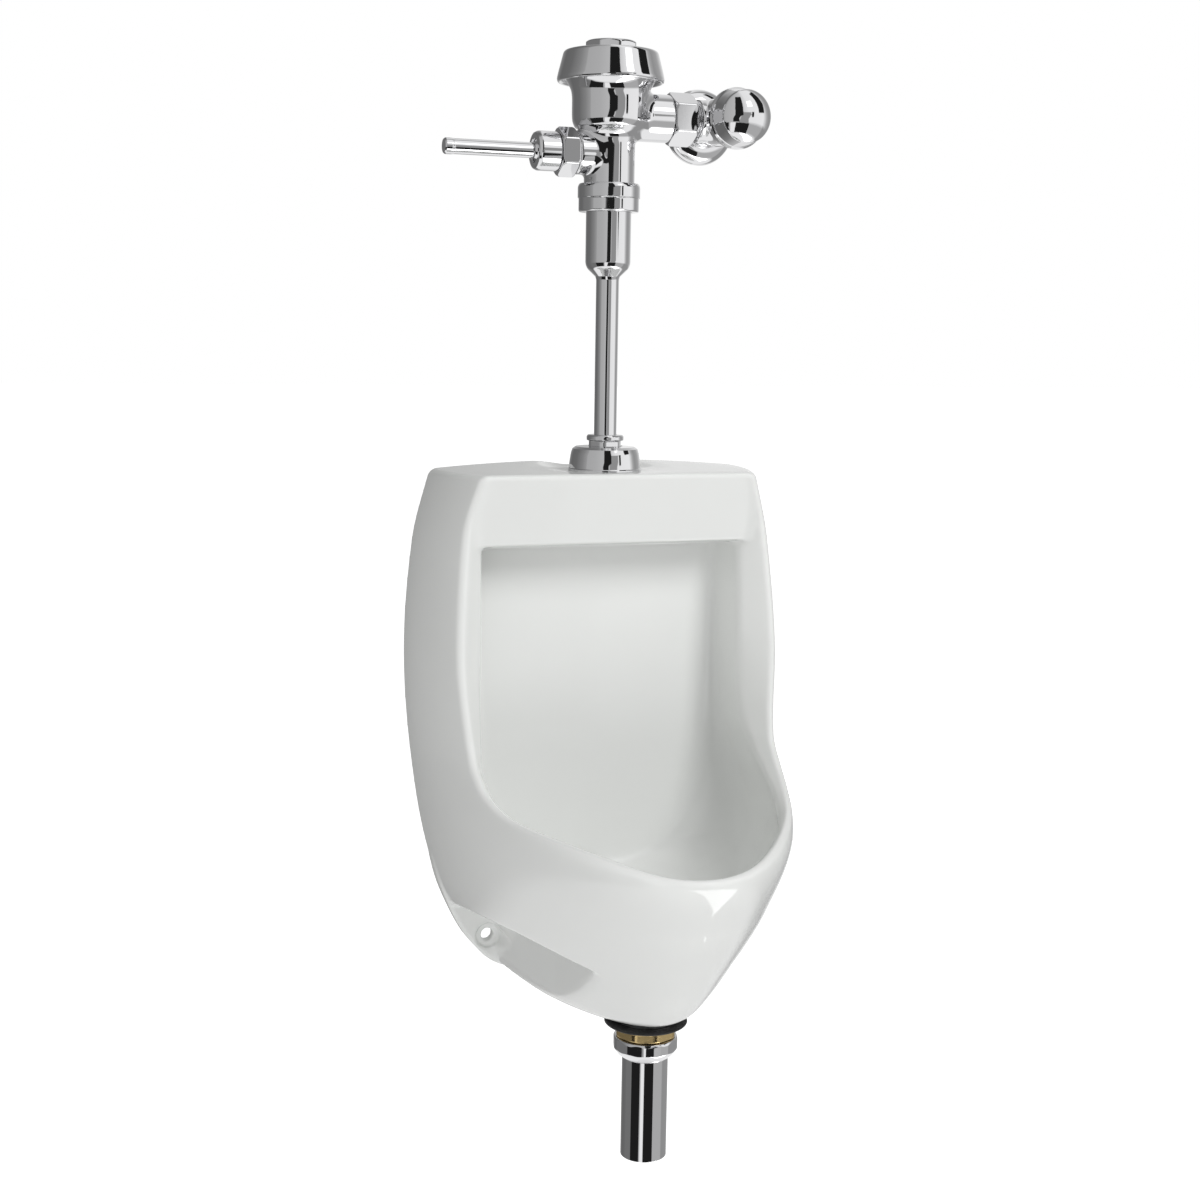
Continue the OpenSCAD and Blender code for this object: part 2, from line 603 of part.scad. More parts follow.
module wall_flange() {
    color("silver") at_stop(0) difference() {
        turned(concat([[14.5, 17.6], [14.5, 8], [29.6, 1.6], [29.6, 0], [32, 0], [32, 1.4]],
            [for (a = [0 : 15 : 90]) [18.2 + 13.4 * cos(a), 2 + 9.4 * sin(a)]], [[17.4, 12.6], [17.2, 17.6]]));
        translate([0, 0, 14.8]) rotate([90, 0, 0]) cylinder(r = 1.6, h = 20);
    }
}
module set_screw() {
    color("dimgray") at_stop(14.8) rotate([90, 0, 0]) translate([0, 0, 14.4]) difference() {
        cylinder(r = 1.55, h = 2.6);
        translate([0, 0, 1.4]) hex(1.5, 2);
    }
}

// Outlet group, heights below the outlet face of the china
outlet_hole_r = 24;
tail_r = tail_d / 2;
// The top of the tailpiece, inside the slip nut, is swaged down to this radius
neck_r = tail_r - 0.55;
thread_r = 22;
module strainer_spud() {
    color("silver") at_outlet(0) turned([[tail_r + 0.1, -22], [thread_r, -22], [thread_r, -0.5], [23.7, 0],
        [23.7, floor_t], [strainer_r - 0.6, floor_t + 0.02], [strainer_r, floor_t + 1], [strainer_r - 3, floor_t + 3],
        [24, floor_t + 3.4],
        [22.6, floor_t + 1.2], [17.5, floor_t + 1.2], [17.5, -4], [tail_r + 0.1, -4]]);
}
module strainer_cover() {
    color("gainsboro") at_outlet(floor_t + 1.2) difference() {
        turned([[0, 0], [22.5, 0], [22.5, 1.4], [18, 2.6], [8, 3.4], [0, 3.4]]);
        for (k = [0 : 5]) rotate([0, 0, 60 * k]) translate([8.6, 0, -1]) cylinder(r = 2.3, h = 8, $fn = 24);
        for (k = [0 : 9]) rotate([0, 0, 36 * k]) translate([14.6, 0, -1]) cylinder(r = 2.1, h = 8, $fn = 24);
        translate([0, 0, -1]) cylinder(r = 2.1, h = 8, $fn = 24);
    }
}
module strainer_screw() {
    color("silver") at_outlet(floor_t + 1.2) difference() {
        turned([[0, -2], [2.05, -2], [2.05, 3.4], [4.6, 3.4], [3.8, 5], [2, 5.6], [0, 5.6]]);
        translate([-5, -0.6, 4.6]) cube([10, 1.2, 3]);
    }
}
module outlet_gasket() {
    color("black") at_outlet(0) turned([[23.6, -5.6], [33.4, -5.6], [34.6, -4.6], [34.6, -0.8], [33.8, 0],
        [23.8, 0], [thread_r + 0.1, -1], [thread_r + 0.1, -5.6]]);
}
module outlet_locknut() {
    color("goldenrod") at_outlet(-12.4) difference() {
        intersection() {
            cylinder(d = 48 / cos(22.5), h = 6.8, $fn = 8);
            turned([[0, 0], [24.2, 0], [25.4, 1.2], [25.4, 5.6], [24.2, 6.8], [0, 6.8]]);
        }
        translate([0, 0, -1]) cylinder(r = thread_r + 0.05, h = 10);
    }
}
module slip_washer() {
    color("black") at_outlet(-26.2) ring(neck_r + 0.02, thread_r, 4.1);
}
module slip_nut() {
    color("silver") at_outlet(-30) difference() {
        intersection() {
            cylinder(d = 52.4 / cos(18), h = 17.4, $fn = 10);
            turned([[0, 0], [23.4, 0], [24.4, 1.2], [24.4, 4], [26.8, 5.4], [26.8, 15.6], [25.4, 17.4], [0, 17.4]]);
        }
        translate([0, 0, 3.7]) cylinder(r = thread_r + 0.05, h = 20);
        translate([0, 0, -1]) cylinder(r = tail_r + 0.1, h = 20);
    }
}
module outlet_tailpiece() {
    free = tail_l - 1;
    bore = neck_r - 1.2;
    color("silver") at_outlet(-30 - tail_l) turned([[tail_r - 1.2, 0], [tail_r, 0], [tail_r, free],
        [neck_r, free + 0.6], [neck_r, tail_l + 24], [bore, tail_l + 24], [bore, free], [tail_r - 1.2, free - 0.6]]);
}

china_body();
wall_hangers();
inlet_spud();
spud_gasket();
spud_locknut();
spud_flange();
spud_coupling_nut();
spud_slip_gasket();
friction_washer();
flush_tube();
vacuum_breaker_sleeve();
vacuum_breaker_nut();
valve_body();
valve_seat();
diaphragm();
diaphragm_guide();
relief_valve();
inside_cover();
outside_cover();
handle_gasket();
handle_bushing();
handle_socket();
handle_coupling_nut();
handle_lever();
plunger();
plunger_spring();
plunger_seal();
tailpiece_coupling_nut();
adjustable_tailpiece();
tailpiece_o_ring();
stop_body();
stop_bonnet();
stop_piston();
stop_spring();
adjusting_screw();
stop_cap();
supply_adapter();
wall_flange();
set_screw();
strainer_spud();
strainer_cover();
strainer_screw();
outlet_gasket();
outlet_locknut();
slip_washer();
slip_nut();
outlet_tailpiece();
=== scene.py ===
"""Looks of the wall-hung urinal: glazed china, turned chrome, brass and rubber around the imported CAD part."""

import json
import math

import bpy
import numpy as np
from mathutils import Matrix, Vector


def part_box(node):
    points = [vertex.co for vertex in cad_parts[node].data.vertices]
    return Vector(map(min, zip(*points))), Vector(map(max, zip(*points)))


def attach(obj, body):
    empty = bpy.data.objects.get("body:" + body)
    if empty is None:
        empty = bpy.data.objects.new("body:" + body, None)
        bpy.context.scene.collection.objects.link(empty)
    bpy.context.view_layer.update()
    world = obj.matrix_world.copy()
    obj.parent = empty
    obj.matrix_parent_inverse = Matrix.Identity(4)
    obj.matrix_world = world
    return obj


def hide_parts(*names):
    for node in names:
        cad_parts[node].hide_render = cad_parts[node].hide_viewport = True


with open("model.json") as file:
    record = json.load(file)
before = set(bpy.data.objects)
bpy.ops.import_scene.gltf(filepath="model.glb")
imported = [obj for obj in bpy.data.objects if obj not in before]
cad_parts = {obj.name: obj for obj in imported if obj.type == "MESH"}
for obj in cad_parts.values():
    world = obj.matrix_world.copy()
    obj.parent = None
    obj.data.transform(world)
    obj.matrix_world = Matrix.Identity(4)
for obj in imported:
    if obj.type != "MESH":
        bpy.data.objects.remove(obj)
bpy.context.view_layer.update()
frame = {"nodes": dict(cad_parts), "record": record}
NODES = frame["nodes"]
MM = 0.001


# Reference sizes, in millimetres, read from the frame where a CAD node gives them

def node_box(name):
    """Low and high corner of a CAD node, in millimetres."""
    return (np.array(corner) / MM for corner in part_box(name))


china_low, china_high = node_box("china_body")
tube_low, tube_high = node_box("flush_tube")
stop_low, stop_high = node_box("stop_cap")
tail_low, tail_high = node_box("outlet_tailpiece")

TOP_Z = 62.0
CHINA_H = TOP_Z - china_low[2]
CHINA_W = china_high[0] - china_low[0]
LIP_REACH = 292.0
SPUD_D = -(tube_low[1] + tube_high[1]) / 2
OUTLET_D = -(tail_low[1] + tail_high[1]) / 2
STOP_X = (stop_low[0] + stop_high[0]) / 2
SUPPLY_Z = (stop_low[2] + stop_high[2]) / 2
HANDLE_Z = SUPPLY_Z - 31
OUTLET_Z = china_low[2]


# Smooth curves and rounded solids

def curve(points, x):
    """Smooth curve through [x, value] points."""
    p = np.array(points, float)
    slopes = np.empty(len(p))
    slopes[1:-1] = (p[2:, 1] - p[:-2, 1]) / (p[2:, 0] - p[:-2, 0])
    slopes[0] = (p[1, 1] - p[0, 1]) / (p[1, 0] - p[0, 0])
    slopes[-1] = (p[-1, 1] - p[-2, 1]) / (p[-1, 0] - p[-2, 0])
    i = np.clip(np.searchsorted(p[:, 0], x, side="right") - 1, 0, len(p) - 2)
    h = p[i + 1, 0] - p[i, 0]
    u = np.clip((x - p[i, 0]) / h, 0, 1)
    a = u * u * (3 - 2 * u)
    rise = h * (slopes[i] * u * (1 - u) ** 2 - slopes[i + 1] * u * u * (1 - u))
    return p[i, 1] * (1 - a) + p[i + 1, 1] * a + rise


def both(a, b, r):
    """Space inside both a and b, with its outer edge rounded to r."""
    u = np.maximum(a + r, 0)
    v = np.maximum(b + r, 0)
    return np.minimum(np.maximum(a, b), -r) + np.sqrt(u * u + v * v)


def either(a, b, r):
    """Space inside a or b, with its inner corner filled to r."""
    return -both(-a, -b, r)


def soft_step(x, width):
    """x where it is positive, 0 where it is negative, with a soft bend between."""
    return 0.5 * (x + np.sqrt(x * x + width * width))


def outline_distance(outline, across, up):
    """Signed distance from a closed outline, negative inside it, for every pair of across and up."""
    p = np.array(outline, float)
    best = np.full(np.broadcast(across, up).shape, 1e9)
    crossings = np.zeros(best.shape, int)
    for a, b in zip(p, np.roll(p, -1, axis=0)):
        v = b - a
        if v @ v < 1e-12:
            continue
        u = np.clip(((across - a[0]) * v[0] + (up - a[1]) * v[1]) / (v @ v), 0, 1)
        best = np.minimum(best, (across - a[0] - u * v[0]) ** 2 + (up - a[1] - u * v[1]) ** 2)
        if abs(v[1]) > 1e-12:
            level = (a[1] <= up) != (b[1] <= up)
            crossings += level & (across < a[0] + (up - a[1]) * v[0] / v[1])
    return np.where(crossings % 2 == 1, -1, 1) * np.sqrt(best)


def within(v, low, high):
    """Distance of v outside the range from low to high, negative inside it."""
    return np.abs(v - (low + high) / 2) - (high - low) / 2


def mean_crossings(field, cells):
    """Mean of the places where the field crosses zero on a cell's edges, for each cell and in grid steps."""
    corner = {}
    for i in (0, 1):
        for j in (0, 1):
            for k in (0, 1):
                corner[i, j, k] = field[cells[:, 0] + i, cells[:, 1] + j, cells[:, 2] + k]
    total = np.zeros((len(cells), 3))
    hits = np.zeros(len(cells))
    for a in corner:
        for axis in range(3):
            if a[axis]:
                continue
            b = tuple(a[n] + (n == axis) for n in range(3))
            va, vb = corner[a], corner[b]
            cross = (va < 0) != (vb < 0)
            u = va / np.where(cross, va - vb, 1)
            place = np.zeros((len(cells), 3)) + np.array(a)
            place[:, axis] = u
            total += np.where(cross[:, None], place, 0)
            hits += cross
    return cells + total / hits[:, None]


def quads_across(inside, index, axis):
    """A quad round each crossed grid edge along one axis, through the points of the four cells beside it."""
    a = [slice(None)] * 3
    b = [slice(None)] * 3
    a[axis], b[axis] = slice(0, -1), slice(1, None)
    first, second = inside[tuple(a)], inside[tuple(b)]
    edge = np.argwhere(first != second)
    u, v = [n for n in range(3) if n != axis]
    edge = edge[(edge[:, u] > 0) & (edge[:, u] < inside.shape[u] - 1)]
    edge = edge[(edge[:, v] > 0) & (edge[:, v] < inside.shape[v] - 1)]
    ring = []
    for du, dv in ((1, 1), (0, 1), (0, 0), (1, 0)):
        cell = edge.copy()
        cell[:, u] -= du
        cell[:, v] -= dv
        ring.append(index[tuple(cell.T)])
    ring = np.stack(ring, 1)
    outward = first[tuple(edge.T)]
    if axis == 1:
        outward = ~outward
    ring[~outward] = ring[~outward][:, ::-1]
    return ring


def surface(field, low, step):
    """Points and quads of a field's zero surface, by dual contouring: one point in each crossed cell."""
    nx, ny, nz = field.shape
    inside = field < 0
    count = sum(
        inside[i : nx - 1 + i, j : ny - 1 + j, k : nz - 1 + k].astype(np.int8)
        for i in (0, 1) for j in (0, 1) for k in (0, 1)
    )
    cells = np.argwhere((count > 0) & (count < 8))
    index = np.full((nx - 1, ny - 1, nz - 1), -1, np.int32)
    index[tuple(cells.T)] = np.arange(len(cells))
    points = np.array(low) + mean_crossings(field, cells) * step
    return points, np.concatenate([quads_across(inside, index, axis) for axis in range(3)])


def sample(field, low, step, points):
    """Value of the field at points between the grid's nodes."""
    g = (points - np.array(low)) / step
    g = np.clip(g, 0, np.array(field.shape) - 1.001)
    i = g.astype(int)
    f = g - i
    value = 0
    for a in (0, 1):
        for b in (0, 1):
            for c in (0, 1):
                w = np.abs(1 - a - f[:, 0]) * np.abs(1 - b - f[:, 1]) * np.abs(1 - c - f[:, 2])
                value = value + w * field[i[:, 0] + a, i[:, 1] + b, i[:, 2] + c]
    return value


def slopes_at(field, low, step, points, reach):
    """Unit slopes of the field at points, each taken over reach on both sides."""
    rises = []
    for way in reach * np.eye(3):
        rises.append(sample(field, low, step, points + way) - sample(field, low, step, points - way))
    slopes = np.stack(rises, 1)
    return slopes / np.maximum(np.linalg.norm(slopes, axis=1, keepdims=True), 1e-9)


def mesh_object(name, points, faces, normals=None):
    """Mesh object from points in millimetres, smooth, with its own normals where they are given."""
    mesh = bpy.data.meshes.new(name)
    mesh.vertices.add(len(points))
    mesh.vertices.foreach_set("co", (np.asarray(points, np.float32) * MM).ravel())
    faces = np.asarray(faces, np.int32)
    sides = faces.shape[1]
    mesh.loops.add(faces.size)
    mesh.loops.foreach_set("vertex_index", faces.ravel())
    mesh.polygons.add(len(faces))
    mesh.polygons.foreach_set("loop_start", np.arange(0, faces.size, sides, dtype=np.int32))
    mesh.polygons.foreach_set("loop_total", np.full(len(faces), sides, np.int32))
    mesh.update(calc_edges=True)
    mesh.validate()
    mesh.polygons.foreach_set("use_smooth", np.ones(len(mesh.polygons), bool))
    if normals is not None:
        mesh.normals_split_custom_set_from_vertices(normals)
    obj = bpy.data.objects.new(name, mesh)
    bpy.context.scene.collection.objects.link(obj)
    return obj


def grid(low, high, step):
    """Coordinates x, y and z of a grid from low to high, ready to broadcast."""
    axes = [np.arange(a, b + step, step, dtype=np.float32) for a, b in zip(low, high)]
    return axes[0][:, None, None], axes[1][None, :, None], axes[2][None, None, :]


# China. A place in it is x across, d out from the wall and t down from the top.

WALL = 13.0
FLOOR = 19.0
# Roundings of the outer edge, of the rim, of the foot, of the bowl's mouth, and of the lugs and the back
EDGE = 6.0
RIM_EDGE = 4.0
FOOT_EDGE = 16.0
MOUTH_EDGE = 3.5
LUG_EDGE = 3.0
# The hood over the bowl: its height, and how far its front stands out at the top and at its low edge
HOOD_H = 60.0
HOOD_TOP_D = 89.0
HOOD_LOW_D = 77.0
# The bowl's back wall, and half of the opening's width
BACK_D = 30.0
OPENING = 118.0
# The lugs on the wall: their thickness, and the share of the height where they begin
LUG = 14.0
LUG_TOP = 0.75
# The top swells this much, from a flat ring round the spud outwards
CROWN_H = 6.5
CROWN_START = 34.0

# Each table is [share of the china's height, value], down from the top. Values are shares of half the width
# in FLANK and WALL_LUG, of the lip's reach in NOSE and BOWL_REACH, and of the half opening in BOWL_HALF.
FLANK = [[0, 0.864], [0.13, 0.955], [0.36, 1], [0.61, 0.942], [0.79, 0.832], [0.91, 0.672], [0.96, 0.565],
         [1, 0.46]]
WALL_LUG = [[0.7, 0.86], [0.79, 0.83], [0.85, 0.775], [0.91, 0.695], [0.95, 0.61], [1, 0.48]]
NOSE = [[0, 0.59], [0.14, 0.592], [0.34, 0.65], [0.507, 0.71], [0.59, 0.935], [0.65, 1.0],
        [0.77, 0.912], [0.85, 0.834], [0.9, 0.784], [0.97, 0.714], [1, 0.66]]
BOWL_REACH = [[0.1, 0.96], [0.65, 0.96], [0.72, 0.885], [0.78, 0.8], [0.83, 0.735], [0.88, 0.705], [1, 0.69]]
BOWL_HALF = [[0.1, 1], [0.48, 1], [0.56, 1.05], [0.67, 1.1], [0.73, 1.0], [0.765, 0.84], [0.79, 0.62],
             [0.81, 0.48], [0.84, 0.42], [0.88, 0.37], [1, 0.35]]
# Power of the oval: 2 is an ellipse, and less is flatter along the flanks
BOW = [[0, 2], [0.6, 2], [0.8, 1.96], [0.9, 1.9], [1, 1.83]]
# How much of the rim's inset its face falls back, then the most that it falls and the softness of its start
FACE_FALL = [[0, 0.7], [0.14, 0.7], [0.24, 0.7], [0.34, 0.75], [0.42, 0.9], [0.507, 1.0], [0.6, 0.9],
             [1, 0.8]]
FALL_MOST, FALL_START = 26.0, 2.0
# Share of the way from the back wall to the outlet, where the bowl's back runs forward
BOWL_BACK = [[0.1, 0], [0.74, 0], [0.79, 0.063], [0.825, 0.376], [0.86, 0.75], [0.91, 0.98], [0.94, 1],
             [1, 1]]
# Radius of the bowl's upright corners, in millimetres
BOWL_CORNER = [[0.1, 6], [0.25, 8], [0.45, 16], [0.6, 36], [0.7, 56], [0.8, 50], [0.88, 38], [1, 36]]
# Side view of the rim, as [share of the lip's reach, share of the height]
RIM = [[0.3, -0.05], [0.3, 0], [0.291, 0.09], [0.311, 0.24], [0.342, 0.42], [0.374, 0.507], [0.42, 0.543],
       [0.48, 0.57], [0.58, 0.592], [0.75, 0.606], [0.865, 0.62], [0.965, 0.641], [1.02, 0.652], [1.1, 0.66]]

# The bowl's back ends this far behind the outlet, and is this much narrower than the mouth on each side
BOWL_BEHIND_OUTLET = 36.0
BACK_NARROWING = 10.0
# Its side walls reach their full width this far in front of the hood, over at least this length
SIDES_AHEAD, SIDES_LONG = 14.0, 6.0
# Its ceiling rises towards the front: by how much, from where and over what length
CEILING_RISE, CEILING_BACK, CEILING_LONG = 3.5, 32.0, 65.0
# The recess beside the outlet: its length, its inner side at the wall and how far that runs in, its arch as a
# share of the height and the drop of both ends, and the share of its length from which its front end closes
RECESS_LONG = 206.0
RECESS_INNER_X = 83.0
RECESS_NARROWING = 27.0
RECESS_TOP = 0.824
RECESS_BEND = 13.0
RECESS_CLOSING = 0.55
# Near the foot its inner side runs in further, as [height above the foot, distance]
RECESS_FOOT = [[FOOT_EDGE, 0], [8, 2], [3, 6], [-20, 26]]
# Its closing end: the inner side's step, the length of that step as a share, and the drop of the arch
CLOSING_STEP, CLOSING_SHARE, CLOSING_DROP = 2.0, 0.35, 70.0

# Rooms and holes that hold the hangers, the spud, the outlet, the flushing water and the anchor bolts
HANGER_X = 100.0
POCKET_HALF_W, POCKET_DEEP, POCKET_TOP, POCKET_LOW = 26.0, 19.0, 22.0, 80.0
RIB_NEAR, RIB_FAR, RIB_LOW_Z = 4.0, 11.0, 18.0
SPUD_HOLE_R, SPUD_HOLE_DEEP = 16.5, 20.0
OUTLET_HOLE_R = 24.0
SPREADER_COUNT, SPREADER_GAP, SPREADER_R = 5, 17.5, 2.5
SPREADER_AHEAD, SPREADER_TOP, SPREADER_LOW = 2.0, 44.0, 76.0
CHAMBER_HALF_W, CHAMBER_HALF_D, CHAMBER_HALF_H = 78.0, 15.0, 13.0
CHAMBER_BACK, CHAMBER_T = 2.0, 31.0
ANCHOR_X, ANCHOR_UP, ANCHOR_R = 90.0, 33.0, 5.5
ANCHOR_SEAT_R, ANCHOR_SEAT_D = 11.0, 11.0


def down(t, least=0):
    """Depth below the top as a share of the china's height, from least to 1."""
    return np.clip(t / CHINA_H, least, 1)


def flank_half(t):
    """Half of the china's width."""
    return curve(FLANK, down(t)) * CHINA_W / 2


def nose_reach(t):
    """How far the china stands out from the wall."""
    return curve(NOSE, down(t)) * LIP_REACH


def bowl_half(t):
    """Half of the width inside the side walls."""
    return flank_half(t) - WALL


def bowl_reach(t):
    """How far the bowl's room stands out from the wall."""
    return np.minimum(nose_reach(t) - WALL, curve(BOWL_REACH, down(t, 0.1)) * LIP_REACH)


def oval(x, d, t, half, reach):
    """Distance outside an oval with half-width half(t) and reach reach(t), and depth inside it on a level."""
    a, b = half(t), reach(t)
    da = (half(t + 1) - half(t - 1)) / 2
    db = (reach(t + 1) - reach(t - 1)) / 2
    bow = curve(BOW, down(t))
    u = np.abs(x) / a + 1e-5
    v = np.abs(d) / b + 1e-5
    q = (u**bow + v**bow) ** (1 / bow)
    level = np.hypot(u ** (bow - 1) / a, v ** (bow - 1) / b) * q ** (1 - bow)
    rise = (u**bow / a * da + v**bow / b * db) * q ** (1 - bow)
    steep = np.hypot(level, rise)
    return (q - 1) / np.maximum(steep, 2e-3), (1 - q) / np.maximum(level, 2e-3)


def rim_path():
    """Side view of the rim as a fine line of [d, t], with both of its ends drawn out far beyond the china."""
    p = np.array(RIM)
    n = len(p) - 1
    path = []
    for s in np.linspace(0, 1, 160):
        i = min(n - 1, int(s * n))
        u = s * n - i
        a, b, c, e = p[max(i - 1, 0)], p[i], p[i + 1], p[min(i + 2, n)]
        place = 2 * b + (c - a) * u + (2 * a - 5 * b + 4 * c - e) * u * u
        path.append(0.5 * (place + (3 * b - a - 3 * c + e) * u**3))
    path = np.array(path) * [LIP_REACH, CHINA_H]
    return np.concatenate([[path[0] - [0, 200]], path, [path[-1] + (path[-1] - path[-2]) * 60]])


def rim_distance(d, t):
    """Signed distance from the side view of the rim, positive on its open side, for every pair of d and t."""
    path = rim_path()
    dd, tt = np.broadcast_arrays(d, t)
    best = np.full(dd.shape, 1e9)
    sign = np.ones(dd.shape)
    for a, b in zip(path[:-1], path[1:]):
        v = b - a
        u = np.clip(((dd - a[0]) * v[0] + (tt - a[1]) * v[1]) / (v @ v), 0, 1)
        ex, ey = dd - a[0] - u * v[0], tt - a[1] - u * v[1]
        gap = ex * ex + ey * ey
        nearer = gap < best
        best = np.where(nearer, gap, best)
        open_side = np.where(v[0] * (tt - a[1]) - v[1] * (dd - a[0]) < 0, 1, -1)
        sign = np.where(nearer, open_side, sign)
    return np.sqrt(best) * sign


def by_slope(field, step):
    """The field divided by its own slope, near a distance close to its zero surface."""
    slope = sum(g * g for g in np.gradient(field, step))
    return field / np.sqrt(np.maximum(slope, 0.05))


def china_outside(x, d, t, skin, step):
    """Flanks and nose, with the top that swells round the spud and the lugs that lie on the wall."""
    u = np.clip((np.hypot(x, d - SPUD_D) - CROWN_START) / CROWN_START, 0, 1)
    to_flanks = 1 - (x / flank_half(np.float32(0))) ** 2
    crown = CROWN_H * u * u * (3 - 2 * u) * to_flanks * np.clip(1 - d / HOOD_TOP_D, 0, 1.2)
    top = -t - crown
    lug_side = by_slope(x - curve(WALL_LUG, down(t, 0.7)) * CHINA_W / 2 + 0 * d, step)
    lug_plate = both(both(lug_side, d - LUG, LUG_EDGE), LUG_TOP * CHINA_H - t, LUG_EDGE)
    return both(both(either(skin, lug_plate, 5.0), top, EDGE), t - CHINA_H, FOOT_EDGE)


def china_behind_rim(d, t, inset, step):
    """Space behind the rim's side view, which falls back towards the inside, and behind the hood's front."""
    fall = np.minimum(FALL_MOST, soft_step(inset - RIM_EDGE, FALL_START) * curve(FACE_FALL, down(t)))
    open_side = by_slope(rim_distance(d, t) + fall, step)
    front = (d - HOOD_TOP_D + (HOOD_TOP_D - HOOD_LOW_D) * t / HOOD_H) * 0.98
    hood = both(front, t - HOOD_H, 2.5)
    return either(open_side, hood, 4.0)


def bowl_room(x, d, t, step):
    """Room from the ceiling under the hood down to the bowl's floor, which narrows towards the outlet."""
    walls, _ = oval(x, d, t, bowl_half, bowl_reach)
    p = down(t, 0.1)
    half = curve(BOWL_HALF, p) * OPENING
    forward = curve(BOWL_BACK, p)
    back = BACK_D + forward * (OUTLET_D - BACK_D - BOWL_BEHIND_OUTLET)
    corner = np.minimum(half - 1, curve(BOWL_CORNER, p))
    narrow = BACK_NARROWING * (1 - forward) * np.maximum(0, 1 - down(t) / 0.6)
    mouth = np.maximum(HOOD_LOW_D + SIDES_AHEAD, back + corner + SIDES_LONG)
    side = half - narrow * (1 - np.clip((d - back - corner) / (mouth - back - corner), 0, 1))
    box = both(x - side, back - d, corner)
    ceiling = HOOD_H + CEILING_RISE - CEILING_RISE * (d - CEILING_BACK) / CEILING_LONG - t
    room = both(both(walls, by_slope(box, step), 9.0), t - (CHINA_H - FLOOR), 8.0)
    return both(room, ceiling, 4.0)


def recess_room(x, d, t, step):
    """Recess under the bowl beside the outlet, in front of the lug, and the softness of its edge."""
    u = (d - LUG) / RECESS_LONG
    above_foot, further_in = np.array(RECESS_FOOT).T
    slope_in = np.interp(t, CHINA_H - above_foot, further_in)
    side = RECESS_INNER_X - slope_in - RECESS_NARROWING * u
    inner = side + CLOSING_STEP * np.clip((u - RECESS_CLOSING) / CLOSING_SHARE, 0, 1)
    block = (inner - x) * 0.99
    bend = RECESS_BEND * (2 * np.clip(u, 0, 1) - 1) ** 2
    arch = RECESS_TOP * CHINA_H + bend + CLOSING_DROP * np.clip(u - RECESS_CLOSING, 0, 1) ** 2 - t
    room = both(both(block, LUG - d, 3.0), by_slope(arch + 0 * x, step), 4.0)
    return room, 2.5 + 2.5 * np.clip((u - 0.5) / 0.3, 0, 1)


def hidden_rooms(x, d, t):
    """Hanger pocket with its rib, holes for spud and outlet, spreader holes and water chamber, as a list."""
    pocket_side = np.maximum(np.abs(x - HANGER_X) - POCKET_HALF_W, d - POCKET_DEEP)
    pocket = np.maximum(pocket_side, np.maximum(POCKET_TOP - t, t - POCKET_LOW))
    rib = np.maximum(np.maximum(RIB_NEAR - d, d - RIB_FAR), t - (TOP_Z - RIB_LOW_Z))
    rooms = [np.maximum(pocket, -rib)]
    rooms.append(np.maximum(np.hypot(x, d - SPUD_D) - SPUD_HOLE_R, t - SPUD_HOLE_DEEP))
    rooms.append(np.maximum(np.hypot(x, d - OUTLET_D) - OUTLET_HOLE_R, CHINA_H - FLOOR - 3 - t))
    for n in range(SPREADER_COUNT):
        hole = np.hypot(x - SPREADER_GAP * n, d - SPUD_D - SPREADER_AHEAD) - SPREADER_R
        rooms.append(np.maximum(np.maximum(hole, SPREADER_TOP - t), t - SPREADER_LOW))
    plan = np.maximum(x - CHAMBER_HALF_W, np.abs(d - SPUD_D + CHAMBER_BACK) - CHAMBER_HALF_D)
    rooms.append(np.maximum(plan, np.abs(t - CHAMBER_T) - CHAMBER_HALF_H))
    return rooms


def china_field(step):
    """Half of the china's field, for x from 0 up, with the grid's low corner."""
    low = (0, -LIP_REACH - 4 * step, OUTLET_Z - 3 * step)
    x, y, z = grid(low, (CHINA_W / 2 + 3 * step, 3 * step, TOP_Z + 10), step)
    d, t = -y, TOP_Z - z
    skin, inset = oval(x, d, t, flank_half, nose_reach)
    china = both(china_outside(x, d, t, skin, step), china_behind_rim(d, t, inset, step), RIM_EDGE)
    china = both(china, -bowl_room(x, d, t, step), MOUTH_EDGE)
    recess, soft_end = recess_room(x, d, t, step)
    china = both(china, -recess, soft_end)
    for room in hidden_rooms(x, d, t):
        china = np.maximum(china, -room)
    bolt = np.hypot(x - ANCHOR_X, t - (CHINA_H - ANCHOR_UP))
    china = both(china, ANCHOR_R - bolt, 1.0)
    china = both(china, -np.maximum(bolt - ANCHOR_SEAT_R, ANCHOR_SEAT_D - d), 0.8)
    china = both(china, -d + 0 * t, LUG_EDGE)
    return china, low


def make_china():
    """The glazed china, mirrored from its right half."""
    step = 2.0
    half, low = china_field(step)
    whole = np.concatenate([half[:0:-1], half])
    corner = (-(half.shape[0] - 1) * step, low[1], low[2])
    points, quads = surface(whole, corner, step)
    china = mesh_object("glazed_china", points, quads, slopes_at(whole, corner, step, points, 0.75 * step))
    china.data.materials.append(MATERIALS["china"])
    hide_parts("china_body")
    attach(china, "urinal")


# Turned pieces. Each is drawn along its own +Z and then set in place.

# Columns are the world's directions of a piece's own x, y and z
TURNS = {
    "up": [[1, 0, 0], [0, 1, 0], [0, 0, 1]],
    "right": [[0, 0, 1], [0, 1, 0], [-1, 0, 0]],
    "left": [[0, 0, -1], [0, 1, 0], [1, 0, 0]],
    "front": [[1, 0, 0], [0, 0, -1], [0, 1, 0]],
}
# Radii of the standard sizes: 3/4 in tube, 1-1/2 in tailpiece and their fittings
TUBE_R = 9.525
SPUD_R = 14.0
VB_R, VB_LOW, VB_HIGH = 18.8, 160.0, 214.0
BODY_R, BARREL_R = 21.0, 31.6
TAIL_R, NECK_R = 19.05, 18.5
THREAD_R = 22.0
STICK_END = 142.0
